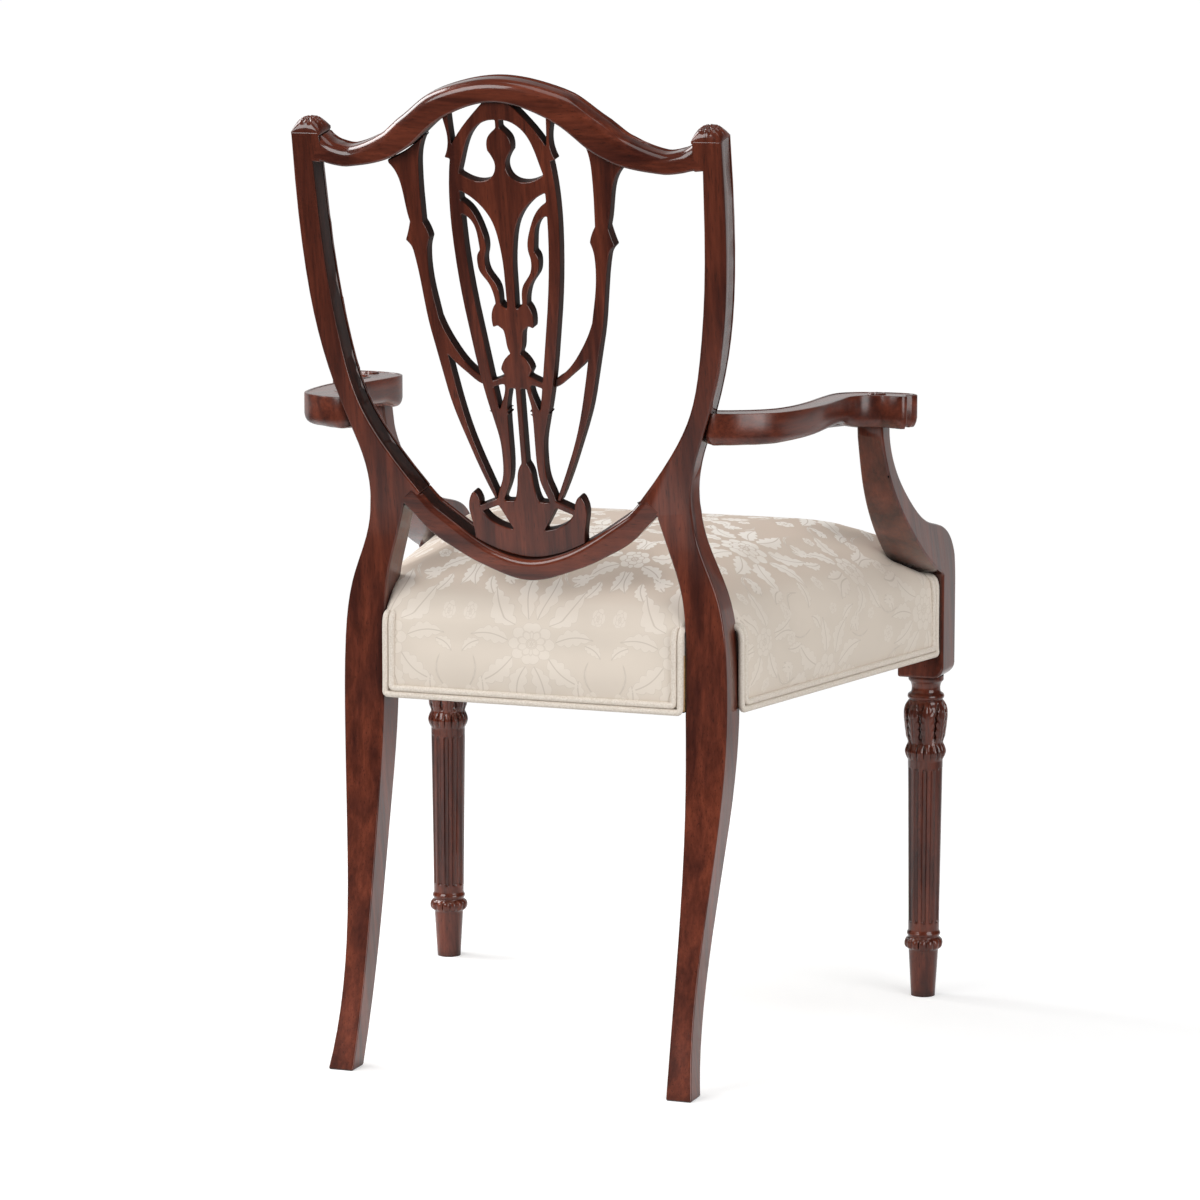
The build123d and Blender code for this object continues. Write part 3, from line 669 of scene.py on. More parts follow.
def moulding_outline(height, round_radius, small_radius=2.5, thick=29.0, bead=5.0):
    """The moulding's outline in millimetres: (up from its middle, forward of its rear face)."""
    top, low = 0.5 * height, -0.5 * height
    outline = []
    for step in range(7):
        turn = math.radians(90 * step / 6)
        outline.append((top - round_radius * (1 - math.sin(turn)), round_radius * (1 - math.cos(turn))))
    quirk = thick - bead - 2.0
    outline += [(top, quirk - 0.6), (top - 1.5, quirk + 0.2), (top - 1.5, quirk + 1.6)]
    for step in range(5):
        turn = math.radians(90 * step / 4)
        outline.append((top - 2.4 * (1 - math.cos(turn)), thick - 2.4 * (1 - math.sin(turn))))
    outline += [(low + 1.5, thick - 0.4), (low, thick - 2.0), (low, quirk + 2.0), (low + 1.5, quirk + 1.6)]
    outline += [(low + 1.5, quirk + 0.2), (low, quirk - 0.6)]
    for step in range(5):
        turn = math.radians(90 * step / 4)
        outline.append((low + small_radius * (1 - math.cos(turn)), small_radius * (1 - math.sin(turn))))
    return outline


def moulded(name, upper, lower, reach, dish, round_radius):
    """A moulding between two curves, dished back in plan, as one closed piece."""
    count = 97
    rings = []
    for step in range(count):
        across = reach * (2 * step / (count - 1) - 1)
        middle = 0.5 * (upper(across) + lower(across))
        ahead = 0.5 * (upper(across + 0.5) + lower(across + 0.5))
        behind = 0.5 * (upper(across - 0.5) + lower(across - 0.5))
        slope = math.atan(ahead - behind)
        height = (upper(across) - lower(across)) * math.cos(slope)
        ring = []
        for up, forward in moulding_outline(height, round_radius):
            x = across - up * math.sin(slope)
            ring.append(on_shield(x, middle + up * math.cos(slope), forward - dish(x)))
        rings.append(ring)
    piece = wrapped_grid(name, rings)
    piece.data.materials.append(cross_grain)
    return piece


# Across and height above the foot of the shield, from the middle outwards.
crest_upper = run_through([
    (0, 428.5), (64.5, 415), (95, 394), (120, 373), (156, 357.5), (176, 359.5), (186, 364.5), (194, 371),
])
crest_lower = run_through([(0, 407.5), (56, 390.5), (105, 352.5), (158, 339), (188, 341)])
bow_upper = run_through([(0, -45), (37, -37), (70, -19.5), (103, 4.5), (118, 20)])
bow_lower = run_through([(0, -65.5), (50, -53), (75, -42), (100, -27.5), (131, 2)])


def crest_dish(across):
    """How far the crest is dished back, in millimetres."""
    return 17 * max(0.0, 1 - (across / 188) ** 2)


def bow_dish(across):
    """How far the bow is dished back, in millimetres."""
    share = min(1.0, abs(across) / 131)
    return 12 * (1 - 3 * share**2 + 2 * share**3)


crest = moulded("polished_shield_frame", crest_upper, crest_lower, 193, crest_dish, 9.5)
bow = moulded("moulded_bow", bow_upper, bow_lower, 126, bow_dish, 6.0)
print("mouldings:", len(crest.data.polygons), len(bow.data.polygons))

# %% Shield united
for side in ("left", "right"):
    post = solid_copy(f"back_post_{side}", f"post_{side}")
    bpy.ops.object.mode_set(mode="EDIT")
    bpy.ops.mesh.select_all(action="SELECT")
    bpy.ops.mesh.bisect(
        plane_co=on_shield(0, post_top, 0), plane_no=lean_up, use_fill=True, clear_outer=True
    )
    bpy.ops.mesh.select_all(action="SELECT")
    bpy.ops.mesh.dissolve_limited(angle_limit=math.radians(1))
    bpy.ops.object.mode_set(mode="OBJECT")
    post.data.materials.append(upright_grain)
    activate(crest)
    unite = crest.modifiers.new("glued joint", "BOOLEAN")
    unite.operation = "UNION"
    unite.material_mode = "TRANSFER"
    unite.object = post
    bpy.ops.object.modifier_apply(modifier=unite.name)
    bpy.data.objects.remove(post)
activate(crest)
unite = crest.modifiers.new("glued joint", "BOOLEAN")
unite.operation = "UNION"
unite.object = bow
bpy.ops.object.modifier_apply(modifier=unite.name)
bpy.data.objects.remove(bow)


def on_main_edge(edge):
    """Whether an edge is an outer corner of the posts, and not part of the fine quirk."""
    if not edge.is_manifold or not edge.is_convex or edge.calc_face_angle() < math.radians(35):
        return False
    from_rear = (0.5 * (edge.verts[0].co + edge.verts[1].co) - shield_foot).dot(lean_front) / MM
    level = 0.5 * (edge.verts[0].co.z + edge.verts[1].co.z) / MM
    return level < 560 or not 19 < from_rear + 1 < 27


bpy.ops.object.mode_set(mode="EDIT")
shape = bmesh.from_edit_mesh(crest.data)
for edge_of_frame in shape.edges:
    edge_of_frame.select_set(on_main_edge(edge_of_frame))
bmesh.update_edit_mesh(crest.data)
bpy.ops.mesh.bevel(offset=2 * MM, segments=3, affect="EDGES", clamp_overlap=False)
bpy.ops.object.mode_set(mode="OBJECT")
polish(crest, None)
# Painted shade: faces that look into the shield's opening, nearer the rear than the front bead, get the
# near-black sawn-edge finish.
crest.data.materials.append(edge_in_painted_shade)
shade_painted = len(crest.data.materials) - 1
for face in crest.data.polygons:
    from_rear = (face.center - shield_foot).dot(lean_front) / MM
    inwards = on_shield(0, 180, from_rear) - face.center
    faces_opening = face.normal.dot(inwards.normalized()) > 0.55
    if faces_opening and abs(face.normal.dot(lean_front)) < 0.3 and from_rear < 20 and face.center.z > 0.5:
        face.material_index = shade_painted
shield_frame = keep(
    crest, "mahogany", "back_post_left", "back_post_right", "crest_rail", "shield_bow"
)
print("shield frame:", len(shield_frame.data.polygons), [m.name for m in shield_frame.data.materials])

# %% [markdown]
# ## Front legs
#
# The front legs were turned on a lathe and then carved by hand: twelve flutes down the shaft, a
# beaded ring over the foot, a ring of leaf tips and a bulb of standing leaves. A grid of points
# goes round the leg: its radius is the turned outline, plus or minus the carving at that place.

# %% Turned outline and carving
leg_radius = run_through([
    (0, 12.5), (4, 12.7), (46, 15.2), (49, 15.4), (50, 16.2), (52, 18.9), (56, 20.0), (60, 18.9),
    (62, 16.6), (63, 16.0), (64, 16.4), (66, 17.4), (68, 17.0), (69.5, 16.2), (72, 16.05),
    (160, 17.0), (248, 18.0), (250, 18.1), (251, 18.6), (255, 20.2), (259, 20.8), (264, 19.6),
    (268, 18.2), (276, 19.2), (285, 20.4), (298, 21.5), (306, 20.6), (312, 18.2), (313, 17.2),
    (314, 17.4), (315, 18.6), (317, 18.9), (319, 18.2), (320, 16.8), (321, 15.4), (326, 14.7),
    (330, 15.6), (332, 16.8), (333, 17.8), (334, 18.2), (338, 18.2),
])
flute_low, flute_high, flute_half = 78, 242, 2.7


def leaf_relief(turn, share):
    """Eight standing leaves with a rib, slanting veins and a toothed edge, in millimetres."""
    aside = abs((turn * 8 / math.tau) % 1 * 2 - 1)
    half = 0.95 * math.sin(math.pi * (0.2 + 0.75 * share)) ** 0.6
    half *= 0.86 + 0.14 * abs(math.sin(5.5 * math.pi * share))
    fade = min(1, 8 * share, 8 * (1 - share))
    if aside > half:
        return -1.9 * fade
    veins = 0.5 + 0.5 * math.cos(math.tau * (5 * share - 1.6 * aside))
    rib = math.exp(-((aside / 0.1) ** 2))
    return fade * (0.5 + 0.9 * math.sqrt(1 - aside / half) - 0.9 * rib - 0.6 * veins * aside / half)


def carving(turn, height):
    """How far the carving stands out from the turned outline, in millimetres."""
    if flute_low < height < flute_high:
        end = min(height - flute_low, flute_high - height, flute_half)
        half = math.sqrt(flute_half**2 - (flute_half - end) ** 2)
        aside = abs((turn * 12 / math.tau) % 1 - 0.5) * math.tau * leg_radius(height) / 12
        return -0.85 * math.sqrt(half**2 - aside**2) if aside < half else 0.0
    if 49.5 < height < 62.5:
        bulge = math.sin(math.pi * (height - 49.5) / 13)
        return -2.6 * bulge * (1 - abs(math.cos(7 * turn)) ** 0.55)
    if 250 < height < 268.5:
        share = (height - 250) / 18.5
        tip = abs(math.cos(8 * turn))
        groove = 0.5 * abs(math.cos(24 * turn)) * tip
        return math.sin(math.pi * share) * (-2.6 * (1 - tip**0.5) + 0.6 - groove)
    if 268.5 < height < 312:
        return leaf_relief(turn, (height - 268.5) / 43.5)
    return 0.0


print("widest turned radius:", max(leg_radius(height) for height in range(339)), "mm")

# %% Legs turned and carved
heights = [*range(0, 46, 6)]
for low, high, step in ((46, 72, 0.8), (72, 84, 1), (84, 236, 8), (236, 250, 1), (250, 334, 0.8)):
    heights += [low + step * place for place in range(round((high - low) / step))]
heights += [334, 336, 338.3]


def leg_ring(axis, height):
    """One ring of points round a leg's axis."""
    ring = []
    for place in range(192):
        turn = math.tau * place / 192
        radius = (leg_radius(height) + carving(turn, height)) * MM
        ring.append(Vector((axis.x + radius * math.cos(turn), axis.y + radius * math.sin(turn), height * MM)))
    return ring


for side in ("left", "right"):
    low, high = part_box(f"front_leg_{side}")
    axis = 0.5 * (low + high)
    leg = wrapped_grid(f"carved_front_leg_{side}", [leg_ring(axis, height) for height in heights])
    activate(leg)
    bpy.ops.object.shade_smooth_by_angle(angle=math.radians(50))
    leg.data.materials.append(upright_grain)
    keep(leg, "mahogany", f"front_leg_{side}")
    print(leg.name, len(leg.data.polygons))

# %% [markdown]
# ## Carved caps
#
# A low dome of small leaves crowns each post. A grid over the post's top is raised to a dome and
# roughened by a ring of leaves and their veins; its rim is sunk into the wood.


# %% Caps on the posts
def cap_height(across, forward):
    """Height of the dome and its leaves in millimetres, for places from -1 to 1 both ways."""
    dome = 11.5 * ((1 - abs(across) ** 2.4) * (1 - abs(forward) ** 3)) ** 0.6
    out = min(1.0, math.hypot(across, forward))
    turn = math.atan2(forward, across)
    leaves = abs(math.sin(5 * turn)) ** 0.6 - 0.35 * abs(math.sin(15 * turn))
    veins = 0.5 * math.cos(11 * math.pi * out) * (1 - out)
    return dome + 1.7 * (leaves - 0.5) * math.sin(math.pi * out) + veins


post_middle, cap_half, cap_deep = 202, 14.6, 14.0
for sign, side in ((1, "left"), (-1, "right")):
    rows = 49
    shape = bmesh.new()
    grid = []
    for row in range(rows):
        forward = 2 * row / (rows - 1) - 1
        line = []
        for column in range(rows):
            across = 2 * column / (rows - 1) - 1
            spot = on_shield(
                sign * post_middle + cap_half * across,
                post_top + cap_height(across, forward),
                14.5 + cap_deep * forward,
            )
            line.append(shape.verts.new(spot))
        grid.append(line)
    for one, two in zip(grid, grid[1:]):
        for column in range(rows - 1):
            shape.faces.new((one[column], one[column + 1], two[column + 1], two[column]))
    rim = grid[0] + [line[-1] for line in grid[1:]] + grid[-1][-2::-1] + [line[0] for line in grid[-2:0:-1]]
    sunk = [shape.verts.new(point.co - 3 * MM * lean_up) for point in rim]
    for place in range(len(rim)):
        after = (place + 1) % len(rim)
        shape.faces.new((rim[after], rim[place], sunk[place], sunk[after]))
    shape.faces.new(sunk)
    bmesh.ops.recalc_face_normals(shape, faces=shape.faces)
    mesh = bpy.data.meshes.new(f"carved_cap_{side}")
    shape.to_mesh(mesh)
    shape.free()
    cap = bpy.data.objects.new(mesh.name, mesh)
    bpy.context.scene.collection.objects.link(cap)
    activate(cap)
    bpy.ops.object.shade_smooth_by_angle(angle=math.radians(50))
    mesh.materials.append(upright_grain)
    keep(cap, "mahogany")
    print(cap.name, len(mesh.polygons))

# %% [markdown]
# ## What the seat hides
#
# Plain hardwood rails, jute webbing and a black dust cloth carry the seat. The stuffed seat closes
# over them on every side. The solids are the right shape, so they get only their own finishes.

# %% Hidden materials
beech = plain_finish("planed beech", "a9835a", "c9a678", 3, (0.1, 1, 1), 0.55, 0.1)
jute = plain_finish("woven jute", "8a7048", "b59a6a", 2, (1, 1, 1), 0.9, 0.4)
cambric = plain_finish("black cambric", "1c1c1d", "2b2b2c", 1.5, (1, 1, 1), 0.95, 0.2)
for name, solid in nodes.items():
    finish = None
    if name.startswith("webbing"):
        finish = jute
    elif name == "dust_cover":
        finish = cambric
    elif name.endswith("seat_rail") or name.startswith(("side_seat_rail", "corner_block")):
        finish = beech
    if finish:
        solid.data.materials.clear()
        solid.data.materials.append(finish)
        print(name, finish.name)

# %% [markdown]
# ## The stuffed seat
#
# The seat is a firm stuffed block, about 85 mm high at its sides and crowned in the middle, with
# its cover pulled tight round the posts and the arm supports. A box is tapered towards the back,
# remeshed, crowned by moving its top points, and cut clear of the wood. Then a short cloth
# simulation blows it up from inside, so that every panel swells between the places where the
# cover is nailed down. No point may move further than a few millimetres.

# %% Seat block
seat_front, seat_rear = -28.0, 434.0
seat_front_half, seat_rear_half = 295.7, 195.2
seat_bottom, seat_roll = 362.0, 430.0
crown_height, crown_reach = 77.0, 160.0
slack = 1.5


def side_half(depth):
    """Half the seat's width in millimetres at a depth from the leg line."""
    share = (depth - seat_front) / (seat_rear - seat_front)
    return seat_front_half + share * (seat_rear_half - seat_front_half)


def inset_of(point):
    """How far a point lies inside the seat's four sides, in millimetres."""
    across = abs(point.x) / MM
    depth = (point.y - front_line) / MM
    slope = (seat_front_half - seat_rear_half) / (seat_rear - seat_front)
    aside = (side_half(depth) - across) / math.hypot(1, slope)
    return min(aside, depth - seat_front, seat_rear - depth)


def select_points(piece, wanted):
    """In edit mode, selects the points that pass a test, and nothing else."""
    shape = bmesh.from_edit_mesh(piece.data)
    for point in shape.verts:
        point.select = wanted(point.co)
    shape.select_flush(True)
    bmesh.update_edit_mesh(piece.data)


def remesh(piece, voxel):
    """Rebuilds a piece as an even skin of small squares."""
    rebuild = piece.modifiers.new("even skin", "REMESH")
    rebuild.mode = "VOXEL"
    rebuild.voxel_size = voxel
    activate(piece)
    bpy.ops.object.modifier_apply(modifier=rebuild.name)


bpy.ops.object.select_all(action="DESELECT")
middle = at(0, 0.5 * (seat_front + seat_rear), 0.5 * (seat_bottom + seat_roll))
bpy.ops.mesh.primitive_cube_add(size=1, location=middle)
seat = bpy.context.object
seat.name = "damask_seat"
seat.scale = (
    2 * (seat_front_half - slack) * MM,
    (seat_rear - seat_front - 2 * slack) * MM,
    (seat_roll - seat_bottom) * MM,
)
bpy.ops.object.transform_apply(location=True, rotation=True, scale=True)
bpy.ops.object.mode_set(mode="EDIT")
select_points(seat, lambda place: place.y > middle.y)
narrow = (seat_rear_half - slack) / (seat_front_half - slack)
bpy.ops.transform.resize(value=(narrow, 1, 1))
bpy.ops.object.mode_set(mode="OBJECT")
remesh(seat, 5 * MM)
for point in seat.data.vertices:
    inset = inset_of(point.co) - slack
    if point.co.z > (seat_roll - 4) * MM and inset > 0:
        turn = math.acos(max(0.0, 1 - inset / crown_reach))
        point.co.z = (seat_roll - slack + crown_height * math.sin(turn)) * MM
print("seat block:", len(seat.data.vertices), "points")

# %% Seat cut clear of the wood
cutters = []
# Plans of the notches: round a back post, with a step behind its outer face, and over a leg. They
# start well under the seat, and the ones over the legs stop where the support begins to lean.
notch_low, post_notch_top, leg_notch_top = 220, 620, 449
post_notch = ((155.8, 390.4), (199.2, 390.4), (199.2, 393.2), (330, 393.2), (330, 600), (155.8, 600))
leg_notch = ((240.5, -200), (440, -200), (440, 17), (240.5, 17))
for sign in (1, -1):
    for plan, top in ((post_notch, post_notch_top), (leg_notch, leg_notch_top)):
        rings = [[at(sign * across, depth, level) for across, depth in plan] for level in (notch_low, top)]
        cutters.append(wrapped_grid("notch", rings))
for side in ("left", "right"):
    cutter = solid_copy(f"arm_support_{side}", f"cutter_{side}")
    swell = cutter.modifiers.new("room for the cover", "DISPLACE")
    swell.mid_level = 0
    swell.strength = 2.5 * MM
    bpy.ops.object.modifier_apply(modifier=swell.name)
    remesh(cutter, 3 * MM)
    cutters.append(cutter)
for cutter in cutters:
    activate(seat)
    cut = seat.modifiers.new("room for the wood", "BOOLEAN")
    cut.solver = "MANIFOLD"
    cut.operation = "DIFFERENCE"
    cut.object = cutter
    bpy.ops.object.modifier_apply(modifier=cut.name)
for cutter in cutters:
    bpy.data.objects.remove(cutter)
remesh(seat, 5 * MM)
print("seat cut:", len(seat.data.vertices), "points")

# %% Seat blown up
start_places = [point.co.copy() for point in seat.data.vertices]
start_normals = [point.normal.copy() for point in seat.data.vertices]
nailed = seat.vertex_groups.new(name="nailed")
for point in seat.data.vertices:
    if point.co.z < (seat_bottom + 6) * MM:
        nailed.add([point.index], 1.0, "REPLACE")
activate(seat)
cloth = seat.modifiers.new("stuffing", "CLOTH")
cloth.settings.quality = 5
cloth.settings.mass = 0.3
cloth.settings.tension_stiffness = 20
cloth.settings.compression_stiffness = 20
cloth.settings.bending_stiffness = 2
cloth.settings.use_pressure = True
cloth.settings.uniform_pressure_force = 4
cloth.settings.vertex_group_mass = "nailed"
cloth.settings.effector_weights.gravity = 0
cloth.point_cache.frame_start = 1
cloth.point_cache.frame_end = 20
for step in range(1, 21):
    bpy.context.scene.frame_set(step)
bpy.ops.object.modifier_apply(modifier=cloth.name)
bpy.context.scene.frame_set(1)
cap = 6 * MM
longest = 0.0
for point, start, normal in zip(seat.data.vertices, start_places, start_normals):
    swelled = (point.co - start).dot(normal)
    longest = max(longest, swelled)
    point.co = start + normal * min(max(swelled, 0), cap)
print("seat swelled by up to", round(longest / MM, 1), "mm before the cap")

# %% Seat smoothed
activate(seat)
soften = seat.modifiers.new("soft cloth", "SMOOTH")
soften.factor = 0.5
soften.iterations = 4
bpy.ops.object.modifier_apply(modifier=soften.name)
finer = seat.modifiers.new("finer skin", "SUBSURF")
finer.levels = 1
finer.render_levels = 1
bpy.ops.object.modifier_apply(modifier=finer.name)
bpy.ops.object.shade_smooth()
keep(seat, "damask", "seat_cover", "seat_pad")
print("seat faces:", len(seat.data.polygons))

# %% [markdown]
# ## Ivory damask
#
# Damask is one cloth of two weaves: a matt ground and a satin figure in the same thread, so the
# flowers show by their shine, most where light rakes over the top. Here that sheen is painted:
# on upward faces the ground is darker and the figure lighter. The figure here is a plain
# half-drop of round flowers and leaf sprays. One node group draws a leaf and one a flower, and
# each copy gets a place, an angle and a size. The cloth's own flat map is made first: the top of
# the seat lies flat and the sides fold down from it, as the cover was pulled over the stuffing.

# %% Flat map of the cover
flat_map = seat.data.uv_layers.new(name="cover")
edge_level = 446 * MM
slope = (seat_front_half - seat_rear_half) / (seat_rear - seat_front)


def on_the_cloth(place):
    """Where a point of the seat lies on the flat cloth, in metres."""
    drop = max(0.0, edge_level - place.z)
    depth = (place.y - front_line) / MM
    aside = (side_half(depth) - abs(place.x) / MM) / math.hypot(1, slope)
    if aside < min(depth - seat_front, seat_rear - depth):
        return place.x + math.copysign(drop, place.x), place.y
    if depth - seat_front < seat_rear - depth:
        return place.x, place.y - drop
    return place.x, place.y + drop


for loop in seat.data.loops:
    place = seat.data.vertices[loop.vertex_index].co
    flat_map.data[loop.index].uv = on_the_cloth(place)
print("cover mapped:", len(seat.data.loops), "corners")


# %% Leaf and flower of the figure
# Each row names a result, an operation and its values; STEP is a soft step between two values.
turn_half = math.pi
figures = {
    "damask leaf": (
        ("Length", "Width", "Bend"),
        (
            ("along", "DIVIDE", "x", "Length"), ("along", "MINIMUM", "along", 1.0),
            ("along", "MAXIMUM", "along", 0.0),
            ("arch", "MULTIPLY", "along", turn_half), ("arch", "SINE", "arch"),
            ("arch", "MULTIPLY", "arch", "Bend"),
            ("aside", "SUBTRACT", "y", "arch"), ("aside", "ABSOLUTE", "aside"),
            ("belly", "POWER", "along", 0.75), ("belly", "MULTIPLY", "belly", turn_half),
            ("belly", "SINE", "belly"),
            ("tooth", "MULTIPLY", "along", 4.5 * turn_half), ("tooth", "SINE", "tooth"),
            ("tooth", "ABSOLUTE", "tooth"), ("tooth", "MULTIPLY_ADD", "tooth", 0.35, 0.72),
            ("half", "MULTIPLY", "belly", "tooth"), ("half", "MULTIPLY", "half", "Width"),
            ("inside", "SUBTRACT", "half", "aside"), ("body", "STEP", "inside", 0.0, 0.7 * MM),
            ("vein", "STEP", "aside", 0.2 * MM, 0.8 * MM), ("vein", "MULTIPLY_ADD", "vein", 0.6, 0.4),
            ("figure", "MULTIPLY", "body", "vein"),
        ),
    ),
    "damask flower": (
        ("Radius", "Petals"),
        (
            ("wave", "ARCTAN2", "y", "x"), ("wave", "MULTIPLY", "wave", "Petals"),
            ("wave", "MULTIPLY", "wave", 0.5),
            ("petal", "COSINE", "wave"), ("petal", "ABSOLUTE", "petal"),
            ("gap", "SINE", "wave"), ("gap", "ABSOLUTE", "gap"), ("share", "DIVIDE", "out", "Radius"),
            ("rim", "MULTIPLY_ADD", "petal", 0.2, 0.8), ("rim", "SUBTRACT", "rim", "share"),
            ("body", "STEP", "rim", 0.0, 0.03),
            ("split", "MULTIPLY", "petal", "share"), ("split", "STEP", "split", 0.03, 0.1),
            ("inner", "MULTIPLY_ADD", "gap", 0.14, 0.46), ("inner", "SUBTRACT", "share", "inner"),
            ("outside", "STEP", "inner", -0.01, 0.01),
            ("ring", "ABSOLUTE", "inner"), ("ring", "STEP", "ring", 0.012, 0.04),
            ("fold", "MULTIPLY", "gap", "share"), ("fold", "STEP", "fold", 0.02, 0.07),
            ("split", "SUBTRACT", "split", "fold"), ("lines", "MULTIPLY_ADD", "split", "outside", "fold"),
            ("heart", "SUBTRACT", "share", 0.2), ("heart", "ABSOLUTE", "heart"),
            ("heart", "STEP", "heart", 0.02, 0.05),
            ("figure", "MULTIPLY", "body", "lines"), ("figure", "MULTIPLY", "figure", "ring"),
            ("figure", "MULTIPLY", "figure", "heart"),
        ),
    ),
}
for name, (sizes, steps) in figures.items():
    group = bpy.data.node_groups.new(name, "ShaderNodeTree")
    for label in ("Cloth", "Place"):
        group.interface.new_socket(label, in_out="INPUT", socket_type="NodeSocketVector")
    for label in ("Angle", *sizes):
        group.interface.new_socket(label, in_out="INPUT", socket_type="NodeSocketFloat")
    group.interface.new_socket("Figure", in_out="OUTPUT", socket_type="NodeSocketFloat")
    given = add(group, "NodeGroupInput").outputs
    moved = add(group, "ShaderNodeVectorMath", {0: given["Cloth"], 1: given["Place"]}, operation="SUBTRACT")
    turned = add(
        group, "ShaderNodeVectorRotate", {"Vector": moved.outputs[0], "Angle": given["Angle"]},
        rotation_type="Z_AXIS", invert=True,
    )
    parts = add(group, "ShaderNodeSeparateXYZ", {0: turned.outputs[0]})
    out = add(group, "ShaderNodeVectorMath", {0: turned.outputs[0]}, operation="LENGTH")
    made = {"x": parts.outputs["X"], "y": parts.outputs["Y"], "out": out.outputs["Value"]}
    made.update({label: given[label] for label in sizes})
    for label, operation, *values in steps:
        values = [made[value] if isinstance(value, str) else value for value in values]
        if operation == "STEP":
            ends = dict(zip(("Value", "From Min", "From Max"), values))
            made[label] = add(group, "ShaderNodeMapRange", ends, interpolation_type="SMOOTHSTEP").outputs[0]
        else:
            step = add(group, "ShaderNodeMath", dict(enumerate(values)), operation=operation)
            made[label] = step.outputs[0]
    add(group, "NodeGroupOutput", {"Figure": made["figure"]})
    print(name, len(group.nodes), "nodes")

# %% Sprays of the figure
# Flowers: x, y, radius, petals. Leaves: x, y, angle, length, width, bend. In units of 0.72 mm; each
# spray is drawn on one side of its middle line and mirrored.
UNIT = 0.72 * MM
repeat = Vector((215 * UNIT, 285 * UNIT, 1.0))
main_flowers = ((0, 0, 34, 9), (88, 74, 11, 5), (92, -42, 10, 5), (0, 108, 14, 6))
main_leaves = (
    (26, 22, 38, 62, 15, 7), (34, -4, -6, 56, 13, -6), (24, -28, -48, 62, 15, 7), (6, 36, 76, 60, 13, -6),
    (6, -38, -80, 64, 14, 6), (70, 52, 80, 36, 9, 4), (76, -2, 40, 32, 9, -4), (66, -62, -70, 36, 9, 4),
    (30, 86, 30, 36, 9, -4), (34, -92, -24, 38, 10, 4), (30, 70, 60, 62, 2.4, 14),
    (40, -78, -100, 54, 2.4, -12), (84, 20, 75, 56, 2.2, 12),
)
small_flowers = ((0, 0, 22, 7), (60, 4, 9, 5))
small_leaves = (
    (16, 14, 40, 46, 12, -5), (20, -8, -20, 46, 12, 5), (4, 26, 80, 46, 11, 5), (4, -26, -82, 48, 11, -5),
    (52, 40, 60, 30, 8, 4), (54, -34, -60, 30, 8, -4),
)


def drawn_spray(tree, cloth, shift, flowers, leaves):
    """The shader output of one spray's flowers and leaves, repeated over the cloth."""
    shifted = add(
        tree, "ShaderNodeVectorMath", {0: cloth, 1: [shift * size for size in repeat]}, operation="ADD"
    )
    tile = add(
        tree, "ShaderNodeVectorMath", {0: shifted.outputs[0], 1: 0.5 * repeat, 2: -0.5 * repeat},
        operation="WRAP",
    )
    folded = add(tree, "ShaderNodeVectorMath", {0: tile.outputs[0]}, operation="ABSOLUTE")
    across = add(tree, "ShaderNodeSeparateXYZ", {0: folded.outputs[0]})
    upwards = add(tree, "ShaderNodeSeparateXYZ", {0: tile.outputs[0]})
    spot = add(tree, "ShaderNodeCombineXYZ", {"X": across.outputs["X"], "Y": upwards.outputs["Y"]}).outputs[0]
    pieces = []
    for x, y, radius, petals in flowers:
        pieces.append(("damask flower", x, y, 0, {"Radius": radius * UNIT, "Petals": petals}))
    for x, y, angle, length, width, bend in leaves:
        sizes = {"Length": length * UNIT, "Width": width * UNIT, "Bend": bend * UNIT}
        pieces.append(("damask leaf", x, y, math.radians(angle), sizes))
    drawn = 0.0
    for group, x, y, angle, sizes in pieces:
        sizes.update({"Cloth": spot, "Place": (x * UNIT, y * UNIT, 0), "Angle": angle})
        one = add(tree, "ShaderNodeGroup", sizes, node_tree=bpy.data.node_groups[group])
        drawn = add(tree, "ShaderNodeMath", {0: one.outputs[0], 1: drawn}, operation="MAXIMUM").outputs[0]
    return drawn


# %% Damask
seat_cloth, tree = new_material("ivory silk damask")
cloth = add(tree, "ShaderNodeUVMap", uv_map="cover").outputs[0]
large = drawn_spray(tree, cloth, 0.0, main_flowers, main_leaves)
small = drawn_spray(tree, cloth, 0.5, small_flowers, small_leaves)
figure = add(tree, "ShaderNodeMath", {0: large, 1: small}, operation="MAXIMUM").outputs[0]
# Threads: a satin twill, drawn 1.4 mm apart so that it shows.
thread = add(
    tree, "ShaderNodeTexWave",
    {"Vector": cloth, "Scale": 1 / (1.4 * MM) / 20, "Distortion": 1.0, "Detail": 1},
    bands_direction="DIAGONAL",
)
uneven = add(tree, "ShaderNodeTexNoise", {"Vector": cloth, "Scale": 1 / (90 * MM), "Detail": 2})
# Painted sheen: on upward faces the ground is painted darker and the satin figure lighter, as where light
# rakes over the top; the upright sides keep nearly one tone.
facing = add(tree, "ShaderNodeTexCoord").outputs["Normal"]
level = add(tree, "ShaderNodeSeparateXYZ", {0: facing}).outputs["Z"]
painted_sheen_mask = add(tree, "ShaderNodeMapRange", {"Value": level, "From Min": 0.7, "From Max": 0.99}).outputs[0]
ground = add(
    tree, "ShaderNodeMix", {0: painted_sheen_mask, 6: linear("d9cdbf"), 7: linear("c6b4a4")}, data_type="RGBA"
)
satin = add(
    tree, "ShaderNodeMix", {0: painted_sheen_mask, 6: linear("dfd4c7"), 7: linear("e9e2d9")}, data_type="RGBA"
)
woven = add(
    tree, "ShaderNodeMix", {0: figure, 6: ground.outputs[2], 7: satin.outputs[2]}, data_type="RGBA"
)
